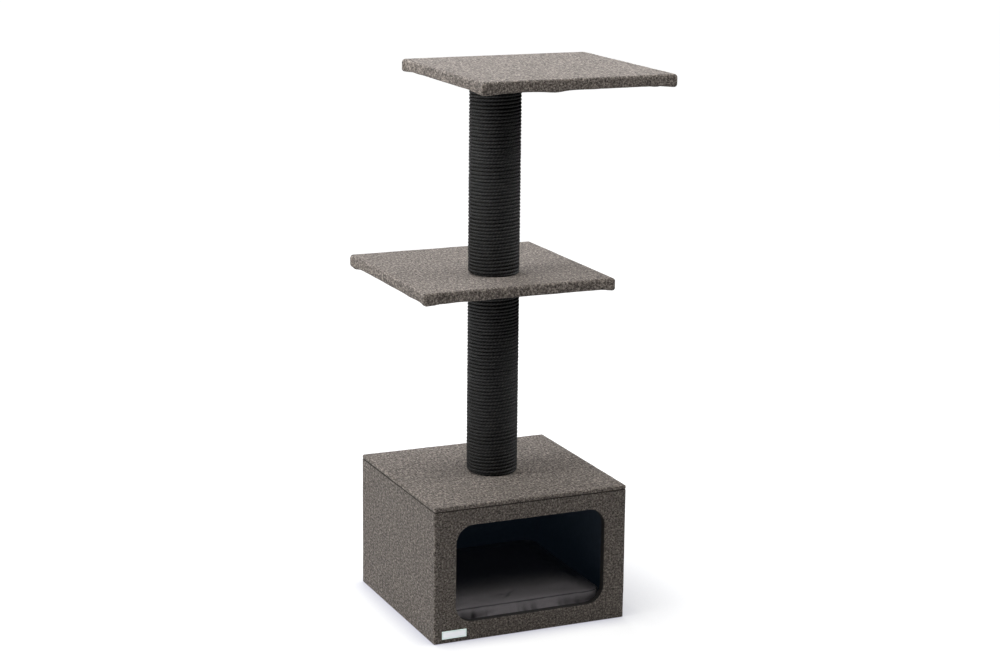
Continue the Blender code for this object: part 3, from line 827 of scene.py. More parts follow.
# %% Both ropes
ROPE_RADIUS = 0.003
ROPE_PITCH = 0.00595
ROPE_CLEARANCE = 0.0005
ROPE_STEP = 0.0021
for seed, (node, name) in enumerate((("lower_rope", "lower_post_rope"), ("upper_rope", "upper_post_rope"))):
    low, high = (Vector(corner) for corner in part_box(node))
    height = high.z - low.z - 2 * ROPE_CLEARANCE
    tube_radius = (high.x - low.x) / 2 - 2 * ROPE_RADIUS
    turns = 2 + (height - 2 * ROPE_RADIUS) / ROPE_PITCH
    length = turns * math.tau * (tube_radius + ROPE_RADIUS)
    rope = grow(name, rope_tree, {
        "Tube Radius": tube_radius, "Rope Radius": ROPE_RADIUS, "Pitch": ROPE_PITCH,
        "Bottom": low.z + ROPE_CLEARANCE, "Turns": turns, "Points": int(length / ROPE_STEP),
        "Seed": 4.0 * seed,
    })
    finish_piece(rope, sisal, "stand", "rope", node)
    print(name, round(length, 2), "m of rope in", round(turns, 1), "turns")

# %% [markdown]
# ## Boards, tubes and steel
# The house and the platforms are of fibreboard: brown, speckled with chips, and striped along its cut
# edges. Inside the cabin it is painted blue-black, with the doorway's cut edge stained dark. One material
# does both: a mask of places inside the cabin's box chooses the paint, so no board needs a second material.
# The paint has a very faint glow, which stands for the light that finds its way into a real cabin. The
# cardboard tubes are painted almost black on their outer face under the rope, as shade between the turns.

# %% Inside-a-box group
boxed, given, out = group(
    "inside_box",
    (
        ("Vector", "NodeSocketVector", (0, 0, 0)),
        ("Middle", "NodeSocketVector", (0, 0, 0)),
        ("Half Size", "NodeSocketVector", (1, 1, 1)),
    ),
    (("Mask", "NodeSocketFloat"),),
)
away = put(boxed, "ShaderNodeVectorMath", {0: given["Vector"], 1: given["Middle"]}, operation="SUBTRACT")
away = put(boxed, "ShaderNodeVectorMath", {0: away.outputs[0]}, operation="ABSOLUTE")
away = put(boxed, "ShaderNodeVectorMath", {0: given["Half Size"], 1: away.outputs[0]}, operation="SUBTRACT")
split = put(boxed, "ShaderNodeSeparateXYZ", {0: away.outputs[0]}).outputs
least = maths(boxed, "MINIMUM", maths(boxed, "MINIMUM", split[0], split[1]), split[2])
boxed.links.new(ranged(boxed, least, 0.0, 0.0002), out["Mask"])


def box_mask(tree, where, low, high):
    """1 at places inside a box."""
    low, high = Vector(low), Vector(high)
    inputs = {"Vector": where, "Middle": (low + high) / 2, "Half Size": (high - low) / 2}
    return put(tree, "ShaderNodeGroup", inputs, node_tree=boxed).outputs["Mask"]


# %% Fibreboard group
chips, given, out = group(
    "fibreboard",
    (
        ("Vector", "NodeSocketVector", (0, 0, 0)),
        ("Pale", "NodeSocketColor", (0.36, 0.25, 0.155, 1)),
        ("Brown", "NodeSocketColor", (0.20, 0.125, 0.07, 1)),
        ("Chip Scale", "NodeSocketFloat", 420.0),
    ),
    (("Color", "NodeSocketColor"), ("Height", "NodeSocketFloat")),
)
grains = speckle(chips, given["Vector"], given["Chip Scale"], 4.0, 0.65)
broad = speckle(chips, given["Vector"], 24.0, 2.0)
stroke = hairs(chips, given["Vector"], given["Chip Scale"], (0.2, 0.1, 0.6), 0.25, 0.04)
colour = mixed(chips, ranged(chips, grains, 0.36, 0.64), given["Brown"], given["Pale"])
colour = mixed(chips, maths(chips, "MULTIPLY", stroke, 0.5), colour, given["Brown"])
colour = mixed(chips, ranged(chips, broad, 0.4, 0.7, 0.0, 0.25), colour, given["Pale"])
chips.links.new(colour, out["Color"])
chips.links.new(grains, out["Height"])

# %% Board material
CABIN_LOW = Vector((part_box("left_wall")[1][0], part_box("front_wall")[1][1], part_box("floor_board")[1][2]))
CABIN_HIGH = Vector((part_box("right_wall")[0][0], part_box("back_wall")[0][1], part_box("roof_board")[0][2]))
SKIN = Vector((0.0005, 0.0005, 0.0005))
JAMB = 0.001
print("cabin", [round(1000 * size) for size in CABIN_HIGH - CABIN_LOW], "mm")


def board_material(name, painted):
    """Fibreboard, with dark paint inside the cabin where the board is one of the house's."""
    made, tree, shader, where = principled(name, 0.8)
    raw = put(tree, "ShaderNodeGroup", {"Vector": where}, node_tree=chips)
    colour, height = raw.outputs["Color"], raw.outputs["Height"]
    if painted:
        cabin = box_mask(tree, where, CABIN_LOW - SKIN, CABIN_HIGH + SKIN)
        door_low = (-DOOR_HALF - JAMB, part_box("front_wall")[0][1] - JAMB, DOOR_LOW - JAMB)
        door_high = (DOOR_HALF + JAMB, CABIN_LOW.y + JAMB, DOOR_HIGH + JAMB)
        doorway = box_mask(tree, where, door_low, door_high)
        brushed = ranged(tree, speckle(tree, where, 160.0, 3.0), 0.3, 0.7)
        stain = mixed(tree, brushed, (0.010, 0.009, 0.009, 1), (0.022, 0.017, 0.014, 1))
        paint = mixed(tree, brushed, (0.022, 0.030, 0.042, 1), (0.032, 0.042, 0.058, 1))
        colour = mixed(tree, doorway, colour, stain)
        colour = mixed(tree, cabin, colour, paint)
        shader.inputs["Emission Color"].default_value = (0.0016, 0.0026, 0.0041, 1)
        tree.links.new(cabin, shader.inputs["Emission Strength"])
    tree.links.new(colour, shader.inputs["Base Color"])
    bump(tree, shader, height, 0.0003, 0.6)
    return made


def coat_nodes(material, *names):
    """Gives the model's own pieces their finish."""
    for name in names:
        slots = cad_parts[name].material_slots
        for place in slots:
            place.material = material


house_board = board_material("house_board", painted=True)
platform_board = board_material("platform_board", painted=False)
coat_nodes(house_board, "floor_board", "roof_board", "left_wall", "right_wall", "front_wall", "back_wall")
coat_nodes(platform_board, "middle_board", "top_board")

# %% Cardboard and plugs
CARDBOARD_TURN = 0.060
GAP_SHADE_FROM, GAP_SHADE_TO = 0.0380, 0.0386
cardboard, tree, shader, where = principled("cardboard_tube", 0.85)
split = put(tree, "ShaderNodeSeparateXYZ", {0: where}).outputs
angle = maths(tree, "DIVIDE", maths(tree, "ARCTAN2", split[1], split[0]), math.tau)
wound = maths(tree, "FRACT", maths(tree, "ADD", angle, maths(tree, "DIVIDE", split[2], CARDBOARD_TURN)))
joint = ranged(tree, maths(tree, "ABSOLUTE", maths(tree, "SUBTRACT", wound, 0.5)), 0.0, 0.012, 1.0, 0.0)
paper = speckle(tree, where, 380.0, 4.0, 0.7)
colour = mixed(tree, ranged(tree, paper, 0.3, 0.7), (0.28, 0.20, 0.125, 1), (0.42, 0.32, 0.22, 1))
colour = mixed(tree, maths(tree, "MULTIPLY", joint, 0.7), colour, (0.13, 0.085, 0.05, 1))
level = put(tree, "ShaderNodeMapping", {"Vector": where, "Scale": (1.0, 1.0, 0.0)}).outputs[0]
from_axis = put(tree, "ShaderNodeVectorMath", {0: level}, operation="LENGTH").outputs["Value"]
# Painted shade: the tube's outer face, under the rope, is almost black, as shade in the gaps between the
# turns.
gap_shade = ranged(tree, from_axis, GAP_SHADE_FROM, GAP_SHADE_TO)
colour = mixed(tree, gap_shade, colour, (0.006, 0.006, 0.007, 1))
tree.links.new(colour, shader.inputs["Base Color"])
bump(tree, shader, maths(tree, "SUBTRACT", maths(tree, "MULTIPLY", paper, 0.3), joint), 0.0003)
coat_nodes(cardboard, "lower_tube", "upper_tube")

VENEER = 0.0044
plywood, tree, shader, where = principled("plywood_plug", 0.7)
split = put(tree, "ShaderNodeSeparateXYZ", {0: where}).outputs
layer = maths(tree, "FRACT", maths(tree, "DIVIDE", split[2], 2 * VENEER))
layer = ranged(tree, maths(tree, "ABSOLUTE", maths(tree, "SUBTRACT", layer, 0.5)), 0.22, 0.28)
run = put(tree, "ShaderNodeMapping", {"Vector": where, "Scale": (0.08, 1.0, 1.0)}).outputs[0]
grain = speckle(tree, run, 420.0, 4.0, 0.6)
colour = mixed(tree, ranged(tree, grain, 0.35, 0.65), (0.38, 0.25, 0.13, 1), (0.60, 0.45, 0.28, 1))
colour = mixed(tree, maths(tree, "MULTIPLY", layer, 0.45), colour, (0.24, 0.15, 0.08, 1))
tree.links.new(colour, shader.inputs["Base Color"])
bump(tree, shader, grain, 0.0002)
coat_nodes(plywood, *(f"{post}_{end}_plug" for post in ("lower", "upper") for end in ("bottom", "top")))

# %% Zinc-plated steel
THREAD_PITCH = 0.00125


def steel_material(name, threaded):
    """Bright zinc plate, slightly clouded, with a thread round the posts' axis where it has one."""
    made, tree, shader, where = principled(name, 0.35, Metallic=1.0)
    cloud = speckle(tree, where, 260.0, 4.0, 0.6)
    colour = mixed(tree, ranged(tree, cloud, 0.35, 0.7), (0.52, 0.53, 0.55, 1), (0.70, 0.70, 0.70, 1))
    tree.links.new(colour, shader.inputs["Base Color"])
    tree.links.new(ranged(tree, cloud, 0.3, 0.7, 0.24, 0.48), shader.inputs["Roughness"])
    if threaded:
        split = put(tree, "ShaderNodeSeparateXYZ", {0: where}).outputs
        angle = maths(tree, "DIVIDE", maths(tree, "ARCTAN2", split[1], split[0]), math.tau)
        wound = maths(tree, "ADD", angle, maths(tree, "DIVIDE", split[2], THREAD_PITCH))
        bump(tree, shader, maths(tree, "PINGPONG", wound, 0.5), 0.0008)
    else:
        bump(tree, shader, cloud, 0.00005)
    return made


zinc = steel_material("zinc_plate", threaded=False)
zinc_thread = steel_material("zinc_thread", threaded=True)
coat_nodes(zinc_thread, "joining_stud", "top_stud")
coat_nodes(zinc, "house_washer", "top_tee_nut")
coat_nodes(zinc, *(f"{post}_{end}_insert" for post in ("lower", "upper") for end in ("bottom", "top")))

# %% [markdown]
# ## Bolt and wood screws
# The sixteen wood screws are all alike, so one screw is made and Geometry Nodes put a copy at each place,
# turned to its own axis. A screw is a core turned from a profile, with a thread that is a thin helix swept
# with a triangle, and a cross sunk in its head.

# %% Screw prototype


def round_row(radius, z, segments):
    """A circle of points about Z."""
    turns = [math.tau * i / segments for i in range(segments)]
    return np.array([(radius * math.cos(a), radius * math.sin(a), z) for a in turns])


def close_up(piece):
    """Closes a piece's holes and turns its faces outwards."""
    bm = bmesh.new()
    bm.from_mesh(piece.data)
    bmesh.ops.holes_fill(bm, edges=bm.edges[:])
    bmesh.ops.recalc_face_normals(bm, faces=bm.faces[:])
    bm.to_mesh(piece.data)
    bm.free()
    return piece


def turned_piece(name, profile, segments):
    """A closed mesh turned about Z through (radius, height) points, from its top down."""
    rows = [round_row(radius, z, segments) for radius, z in profile]
    return close_up(skin(name, rows[::-1], cap=True))


def sink_cross(piece, reach, width, depth):
    """Cuts a cross into the flat top of a head."""
    for angle in (0.0, math.pi / 2):
        bm = bmesh.new()
        bmesh.ops.create_cube(bm, size=1.0)
        for vertex in bm.verts:
            taper = 1.0 if vertex.co.z > 0 else 0.45
            vertex.co.x *= 2 * reach * taper
            vertex.co.y *= width * (0.6 + 0.4 * taper)
            vertex.co.z *= 2 * depth
        bmesh.ops.rotate(bm, verts=bm.verts[:], matrix=Matrix.Rotation(angle, 3, "Z"))
        mesh = bpy.data.meshes.new("cross")
        bm.to_mesh(mesh)
        bm.free()
        cutter = bpy.data.objects.new("cross", mesh)
        scene.collection.objects.link(cutter)
        sunk = piece.modifiers.new("cross", "BOOLEAN")
        sunk.operation = "DIFFERENCE"
        sunk.object = cutter
        settle(piece)
        bpy.data.objects.remove(cutter)
    return piece


SCREW_LENGTH = 0.0300
HEAD_RADIUS = 0.0039
CORE_RADIUS = 0.00135
SCREW_PROFILE = (
    (HEAD_RADIUS - 0.0002, 0.0), (HEAD_RADIUS, -0.0003), (0.0019, -0.0027), (0.0017, -0.0040),
    (CORE_RADIUS, -0.0055), (CORE_RADIUS, -0.0260), (0.0003, -SCREW_LENGTH),
)
screw_core = sink_cross(turned_piece("screw_core", SCREW_PROFILE, 16), 0.0021, 0.0008, 0.0014)

# %% Screw tree
screw_tree, given = geometry_tree(
    "wood_screws",
    (
        ("Core", "NodeSocketObject", None),
        ("Thread Start", "NodeSocketFloat", -0.0075),
        ("Thread End", "NodeSocketFloat", -0.0285),
        ("Thread Turns", "NodeSocketFloat", 12.0),
        ("Thread Radius", "NodeSocketFloat", 0.0013),
        ("Thread Height", "NodeSocketFloat", 0.00055),
    ),
)
g = screw_tree
line = put(g, "GeometryNodeCurvePrimitiveLine", {"End": (0, 0, 1)}).outputs[0]
line = put(g, "GeometryNodeResampleCurve", {"Curve": line, "Count": 109}).outputs[0]
factor = put(g, "GeometryNodeSplineParameter").outputs["Factor"]
angle = maths(g, "MULTIPLY", maths(g, "MULTIPLY", factor, given["Thread Turns"]), math.tau)
tip = ranged(g, factor, 0.80, 1.0, 1.0, 0.2)
reach = maths(g, "MULTIPLY", given["Thread Radius"], tip)
height = ranged(g, factor, 0.0, 1.0, given["Thread Start"], given["Thread End"])
place = put(g, "ShaderNodeCombineXYZ", {
    0: maths(g, "MULTIPLY", maths(g, "COSINE", angle), reach),
    1: maths(g, "MULTIPLY", maths(g, "SINE", angle), reach),
    2: height,
}).outputs[0]
thread = put(g, "GeometryNodeSetPosition", {"Geometry": line, "Position": place}).outputs[0]
thread = put(g, "GeometryNodeSetCurveNormal", {"Curve": thread}, mode="Z_UP").outputs[0]
ridge = put(g, "GeometryNodeCurvePrimitiveCircle", {"Resolution": 4, "Radius": 1.0}).outputs[0]
thread = put(g, "GeometryNodeCurveToMesh", {
    "Curve": thread, "Profile Curve": ridge,
    "Scale": maths(g, "MULTIPLY", given["Thread Height"], tip), "Fill Caps": True,
}).outputs[0]
core = put(g, "GeometryNodeObjectInfo", {"Object": given["Core"]}).outputs["Geometry"]
whole = put(g, "GeometryNodeJoinGeometry")
g.links.new(core, whole.inputs[0])
g.links.new(thread, whole.inputs[0])
way = put(g, "GeometryNodeInputNamedAttribute", {"Name": "axis"}, data_type="FLOAT_VECTOR").outputs[0]
facing = put(g, "FunctionNodeAlignRotationToVector", {"Vector": way}, axis="Z").outputs[0]
placed = put(g, "GeometryNodeInstanceOnPoints", {
    "Points": given["Geometry"], "Instance": whole.outputs[0], "Rotation": facing,
}).outputs[0]
end_tree(g, placed, zinc)

# %% Place the screws


def screw_places():
    """For each screw of the model its node, the middle of its head, and the way that its head faces."""
    places = []
    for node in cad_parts:
        if "_screw" not in node:
            continue
        low, high = (Vector(corner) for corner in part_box(node))
        axis = max(range(3), key=lambda i: (high - low)[i])
        middle = (low + high) / 2
        sign = 1.0 if middle[axis] > (0.1 if axis == 2 else 0.0) else -1.0
        facing = Vector((0, 0, 0))
        facing[axis] = sign
        middle[axis] = high[axis] if sign > 0 else low[axis]
        places.append((node, middle, facing))
    return places


screws = screw_places()
points = bpy.data.meshes.new("screw_places")
points.from_pydata([place for _, place, _ in screws], [], [])
axes = points.attributes.new("axis", "FLOAT_VECTOR", "POINT")
axes.data.foreach_set("vector", [part for _, _, facing in screws for part in facing])
start = bpy.data.objects.new("screw_places", points)
house_screws = grow("house_screws", screw_tree, {"Core": screw_core}, start)
finish_piece(house_screws, zinc, "stand", "steel", *(node for node, _, _ in screws))
house_screws.data.set_sharp_from_angle(angle=math.radians(35))
bpy.data.objects.remove(screw_core)
bpy.data.objects.remove(start)
print(len(screws), "wood screws")

# %% House bolt


BOLT_ROUND = 24
HEAD_HEIGHT = 0.0055
SHANK_RADIUS = 0.0039
THREAD_DEPTH = 0.00055
TIP_RADIUS = 0.0031
THREAD_SHAPE = ((0.25, 0), (0.5, 1), (0.75, 1), (1.0, 0))


def hexagon_row(across, z, shrink):
    """Points round a hexagon, its corners cut back to a circle where it is shrunk."""
    row = []
    for a in (math.tau * i / BOLT_ROUND for i in range(BOLT_ROUND)):
        side = math.cos(math.pi / 6) / math.cos((a + math.pi / 6) % (math.pi / 3) - math.pi / 6)
        reach = across / 2 * shrink
        flat = min(side * across / 2, reach) if shrink < 1 else side * reach
        row.append((flat * math.cos(a), flat * math.sin(a), z))
    return np.array(row)


def house_bolt_piece():
    """A hexagon-headed M8 bolt with a rolled thread."""
    low, high = (Vector(corner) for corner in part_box("house_bolt"))
    head = low.z + HEAD_HEIGHT
    levels = ((low.z, 0.88), (low.z + 0.0007, 1.0), (head - 0.0004, 1.0), (head, 0.93))
    rows = [hexagon_row(high.x - low.x, z, shrink) for z, shrink in levels]
    collar = head + 0.001
    shank = [(head, SHANK_RADIUS), (collar, SHANK_RADIUS)]
    for i in range(int((high.z - collar - 0.001) / THREAD_PITCH)):
        for part, depth in THREAD_SHAPE:
            shank.append((collar + (i + part) * THREAD_PITCH, SHANK_RADIUS - THREAD_DEPTH * depth))
    shank.append((high.z, TIP_RADIUS))
    rows += [round_row(radius, z, BOLT_ROUND) for z, radius in shank]
    piece = close_up(skin("hex_bolt", rows, cap=True))
    finish_piece(piece, zinc, "stand", "steel", "house_bolt")
    piece.data.set_sharp_from_angle(angle=math.radians(28))
    return piece


hex_bolt = house_bolt_piece()

# %% [markdown]
# ## Cushion
# The cushion is a boxed one: a top and a bottom panel with a band sewn between them. Cloth simulation
# makes it: a plain box of cloth is blown up a little from inside while its seams shrink, so the cloth
# puckers along them and the top crowns, as stuffing does. Its underside is pinned, since it lies flat. Then
# its seam is put back at the model's own width and height. The sharp dark seam, the band's many small
# folds and the pinched tuck in the top are worked in afterwards, and the top stays as low as the model's.

# %% Plain box of cloth
CUSHION_CELLS = 66
BAND_ROWS = 8
CUSHION_CORNER = 0.028
SLACK = 0.0016
CUSHION_CROWN = 0.0082
CUSHION_RISE = 0.0125
CUSHION_HEADROOM = 0.0012
cushion_low, cushion_high = (Vector(corner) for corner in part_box("cushion_cover"))


def round_corner(x, y, half, corner):
    """Moves a place on a rectangle so that the rectangle's corners become round."""
    a, b = abs(x) - (half[0] - corner), abs(y) - (half[1] - corner)
    if a > 0 and b > 0:
        a, b = a / corner, b / corner
        a, b = a * math.sqrt(1 - b * b / 2), b * math.sqrt(1 - a * a / 2)
        x = math.copysign(half[0] - corner + corner * a, x)
        y = math.copysign(half[1] - corner + corner * b, y)
    return x, y


def cloth_box(name, low, high):
    """A rounded box of cloth: a top and a bottom grid and a band, with its seams' and floor's vertices."""
    middle, half = (low + high) / 2, ((high.x - low.x) / 2, (high.y - low.y) / 2)
    n, m = CUSHION_CELLS, BAND_ROWS
    side_top = high.z - CUSHION_CROWN
    bm = bmesh.new()
    made, seam, bottom = {}, [], []
    unwrap = bm.loops.layers.uv.new("UVMap")

    def vertex(i, j, k):
        if (i, j, k) not in made:
            u, v, w = 2 * i / n - 1, 2 * j / n - 1, k / m
            x, y = round_corner(u * half[0], v * half[1], half, CUSHION_CORNER)
            z = low.z + w * (side_top - low.z)
            if k == m:
                z += CUSHION_RISE * max(0.0, (1 - abs(u) ** 9) * (1 - abs(v) ** 9)) ** 0.6
            rim = i in (0, n) or j in (0, n)
            if rim:
                belly = 1 + 0.022 * math.sin(math.pi * w**0.8)
                x, y = x * belly, y * belly
                z += 0.0008 * wave(x * 60, y * 60, w * 3, 21)
            else:
                z += (0.0005 if k == m else 0.0) * wave(x * 40, y * 40, 1.0, 22)
            made[i, j, k] = bm.verts.new((middle.x + x, middle.y + y, z))
            if rim and k in (0, m):
                seam.append((i, j, k))
            if k == 0:
                bottom.append((i, j, k))
        return made[i, j, k]

    def face(corners, flat):
        new = bm.faces.new([vertex(*corner) for corner in corners])
        for loop, place in zip(new.loops, flat):
            loop[unwrap].uv = place

    cell = (2 * half[0] / n, 2 * half[1] / n)
    for i in range(n):
        for j in range(n):
            square = [(i, j), (i + 1, j), (i + 1, j + 1), (i, j + 1)]
            flat = [(a * cell[0], b * cell[1]) for a, b in square]
            face([(a, b, m) for a, b in square], flat)
            face([(a, b, 0) for a, b in square[::-1]], flat[::-1])
    ring = [(i, 0) for i in range(n)] + [(n, j) for j in range(n)]
    ring += [(i, n) for i in range(n, 0, -1)] + [(0, j) for j in range(n, 0, -1)]
    row = (side_top - low.z) / m
    for step_on, start in enumerate(ring):
        end = ring[(step_on + 1) % len(ring)]
        for k in range(m):
            flat = [(step_on, k), (step_on + 1, k), (step_on + 1, k + 1), (step_on, k + 1)]
            corners = [(*start, k), (*end, k), (*end, k + 1), (*start, k + 1)]
            face(corners, [(a * cell[0], b * row) for a, b in flat])
    bmesh.ops.recalc_face_normals(bm, faces=bm.faces[:])
    bm.verts.index_update()
    groups = {"seam": [made[key].index for key in seam], "bottom": [made[key].index for key in bottom]}
    mesh = bpy.data.meshes.new(name)
    bm.to_mesh(mesh)
    bm.free()
    piece = bpy.data.objects.new(name, mesh)
    scene.collection.objects.link(piece)
    for label, members in groups.items():
        piece.vertex_groups.new(name=label).add(members, 1.0, "REPLACE")
    return piece


cloth_low = cushion_low + Vector((SLACK, SLACK, 0))
cloth_high = cushion_high - Vector((SLACK, SLACK, CUSHION_HEADROOM))
cushion = cloth_box("cushion_cloth", cloth_low, cloth_high)
print("cushion cloth", len(cushion.data.polygons), "faces")

# %% Fill the cushion
FILL_FRAMES = 20
MOST_MOVE = 0.009


def fill_cloth(piece, pressure, frames, cap):
    """Blows the cloth up with its underside pinned and its seams drawn in, moves no point further than
    the cap, and brings the upper seam back to its first width and height."""
    before = np.empty(len(piece.data.vertices) * 3)
    piece.data.vertices.foreach_get("co", before)
    cloth = piece.modifiers.new("filling", "CLOTH")
    settings = cloth.settings
    settings.quality = 7
    settings.mass = 0.15
    settings.tension_stiffness = 18
    settings.compression_stiffness = 18
    settings.shear_stiffness = 6
    settings.bending_stiffness = 0.06
    settings.use_pressure = True
    settings.uniform_pressure_force = pressure
    settings.vertex_group_mass = "bottom"
    settings.vertex_group_shrink = "seam"
    settings.shrink_min = -0.02
    settings.shrink_max = 0.07
    settings.effector_weights.gravity = 0.0
    cloth.collision_settings.use_collision = False
    cloth.point_cache.frame_start = 1
    cloth.point_cache.frame_end = frames
    for frame_number in range(1, frames + 1):
        scene.frame_set(frame_number)
    settle(piece)
    scene.frame_set(1)
    after = np.empty_like(before)
    piece.data.vertices.foreach_get("co", after)
    moved = (after - before).reshape(-1, 3)
    far = np.linalg.norm(moved, axis=1)
    scale = np.minimum(1.0, cap / np.maximum(far, 1e-9))
    before = before.reshape(-1, 3)
    after = before + moved * scale[:, None]
    middle = (before.max(axis=0) + before.min(axis=0)) / 2
    middle[2] = before[:, 2].min()
    seam = piece.vertex_groups["seam"].index
    rim = [entry.index for entry in piece.data.vertices if any(held.group == seam for held in entry.groups)]
    rim = np.array(rim)
    rim = rim[before[rim, 2] > middle[2] + 0.01]
    for axis in range(3):
        wanted = np.abs(before[rim, axis] - middle[axis]).mean()
        got = np.abs(after[rim, axis] - middle[axis]).mean()
        after[:, axis] = middle[axis] + (after[:, axis] - middle[axis]) * wanted / got
    piece.data.vertices.foreach_set("co", after.ravel())
    piece.data.update()
    print(piece.name, "moved at most", round(1000 * far.max(), 1), "mm")


fill_cloth(cushion, 3.5, FILL_FRAMES, MOST_MOVE)

# %% Seam, wrinkles and tuck
SEAM_DEPTH = 0.0011
BAND_FOLDS = 150
FOLD_DEPTH = 0.0030
FOLD_SHADE_FULL = 0.0020
TUCK = (-0.020, -0.122)
TUCK_TURN = 0.62


def refine(piece):
    """One level of subdivision, kept."""
    finer = piece.modifiers.new("finer", "SUBSURF")
    finer.levels = finer.render_levels = 1
    settle(piece)


def smooth(values, low, high):
    """The step function for an array."""
    t = np.clip((values - low) / (high - low), 0.0, 1.0)
    return t * t * (3 - 2 * t)


def bell(values, centre, width):
    """The hump function for an array."""
    return np.exp(-(((values - centre) / width) ** 2))


def work_cushion(piece):
    """Draws the seams in, folds the band, pinches the tuck and keeps the top as low as the model's.
    Keeps the seam, and the painted shade of the folds, the tuck and the band's lower half, as attributes."""
    mesh = piece.data
    count = len(mesh.vertices)
    points, normals = np.empty(3 * count), np.empty(3 * count)
    mesh.vertices.foreach_get("co", points)
    mesh.vertex_normals.foreach_get("vector", normals)
    points, normals = points.reshape(-1, 3), normals.reshape(-1, 3)
    seam_group = piece.vertex_groups["seam"].index
    seam = np.array([
        sum(entry.weight for entry in vertex.groups if entry.group == seam_group) for vertex in mesh.vertices
    ])
    middle = (cushion_low + cushion_high) / 2
    around = np.arctan2(points[:, 1] - middle.y, points[:, 0] - middle.x)
    level = np.clip((points[:, 2] - cushion_low.z) / (cushion_high.z - CUSHION_CROWN - cushion_low.z), 0, 1)
    upright = np.hypot(normals[:, 0], normals[:, 1]) > 0.35
    left_more = 1.0 + 0.8 * smooth(-points[:, 0], 0.0, 0.15)
    uneven = np.array([wave(x * 120, y * 120, 0.0, 23) for x, y, _ in points])
    shift = -SEAM_DEPTH * seam * (0.8 + 0.4 * uneven)
    rng = np.random.default_rng(7)
    for _ in range(BAND_FOLDS):
        at, width, size = rng.uniform(0, math.tau), rng.uniform(0.010, 0.028), rng.uniform(-1, 0.4)
        off = (around - at + math.pi) % math.tau - math.pi + 0.25 * width * (level - 0.5)
        low_down = np.sin(math.pi * level**0.6) * (1.25 - level)
        shift += FOLD_DEPTH * size * upright * left_more * bell(off, 0.0, width) * low_down
    # Painted shade: darker in the band's folds and towards its bottom, and further down also in the tuck's
    # creases.
    shade_in_folds = upright * (np.clip(-shift / FOLD_SHADE_FULL, 0, 1) + 0.55 * (1.0 - smooth(level, 0.0, 0.6)))
    points += normals * shift[:, None]
    near = points[:, :2] - np.array(TUCK)
    run = near[:, 0] * math.cos(TUCK_TURN) + near[:, 1] * math.sin(TUCK_TURN)
    side = near[:, 1] * math.cos(TUCK_TURN) - near[:, 0] * math.sin(TUCK_TURN)
    crease = bell(side, 0.0015 * np.sin(run * 160), 0.0028) * bell(run, 0.002, 0.014)
    second = bell(side + 0.55 * run, 0.004, 0.0032) * bell(run, -0.010, 0.009)
    raised = bell(side, -0.007, 0.005) * bell(run, 0.0, 0.016)
    dish = bell(np.hypot(*near.T), 0.0, 0.028)
    rumple = np.array([wave(x * 30, y * 22, 3.0, 25) for x, y, _ in points])
    tuck = -0.0060 * crease - 0.0035 * second + 0.0030 * raised - 0.0022 * dish + 0.0010 * rumple
    on_top = normals[:, 2] > 0.5
    points[:, 2] += tuck * on_top
    shade_in_folds += on_top * (1.3 * crease + 0.8 * second - 0.3 * raised)
    points[:, 2] = np.maximum(points[:, 2], cushion_low.z)
    seam_level = cushion_high.z - CUSHION_CROWN - CUSHION_HEADROOM
    squeeze = min(1.0, (cushion_high.z - seam_level) / (points[:, 2].max() - seam_level))
    higher = points[:, 2] > seam_level
    points[higher, 2] = seam_level + (points[higher, 2] - seam_level) * squeeze
    mesh.vertices.foreach_set("co", points.ravel())
    mesh.attributes.new("seam_line", "FLOAT", "POINT").data.foreach_set("value", seam)
    mesh.attributes.new("shade_in_folds", "FLOAT", "POINT").data.foreach_set("value", np.clip(shade_in_folds, -0.3, 1))
    mesh.update()


refine(cushion)
work_cushion(cushion)

# %% [markdown]
# ### Cushion cloth
# The cloth is a plain dark grey weave. It is drawn on the piece's own unwrapping, so its threads follow
# each panel: warp and weft are two rows of small ridges, and each shows where the other dips. Two
# attributes that were kept with the mesh paint shade into the colour: near black in the seam's ditch, and
# darker in the folds, in the tuck's creases and low on the band.

# %% Weave group
weave, given, out = group(
    "plain_weave",
    (
        ("Vector", "NodeSocketVector", (0, 0, 0)),
        ("Threads", "NodeSocketFloat", 1300.0),
        ("Warp", "NodeSocketColor", (0.262, 0.241, 0.250, 1)),
        ("Weft", "NodeSocketColor", (0.163, 0.151, 0.158, 1)),
    ),
    (("Color", "NodeSocketColor"), ("Height", "NodeSocketFloat")),
)
split = put(weave, "ShaderNodeSeparateXYZ", {0: given["Vector"]}).outputs
per_metre = maths(weave, "MULTIPLY", given["Threads"], math.pi)
across, upward = (maths(weave, "SINE", maths(weave, "MULTIPLY", split[i], per_metre)) for i in range(2))
over = maths(weave, "MULTIPLY", across, upward)
slub = speckle(weave, given["Vector"], 300.0, 3.0)
pick = ranged(weave, maths(weave, "ADD", over, maths(weave, "MULTIPLY", slub, 0.5)), -0.4, 0.9)
weave.links.new(mixed(weave, pick, given["Weft"], given["Warp"]), out["Color"])
height = maths(weave, "ADD", maths(weave, "ABSOLUTE", across), maths(weave, "ABSOLUTE", upward))
weave.links.new(height, out["Height"])

# %% Cushion material
cloth_sheen = {"Sheen_Weight": 0.45, "Sheen_Roughness": 0.35}
cushion_cloth, tree, shader, where = principled("cushion_cloth", 0.72, **cloth_sheen)
shader.inputs["Specular IOR Level"].default_value = 0.35
unwrapped = put(tree, "ShaderNodeUVMap", uv_map="UVMap").outputs[0]
woven = put(tree, "ShaderNodeGroup", {"Vector": unwrapped}, node_tree=weave)
at_seam = put(tree, "ShaderNodeAttribute", attribute_name="seam_line").outputs["Fac"]
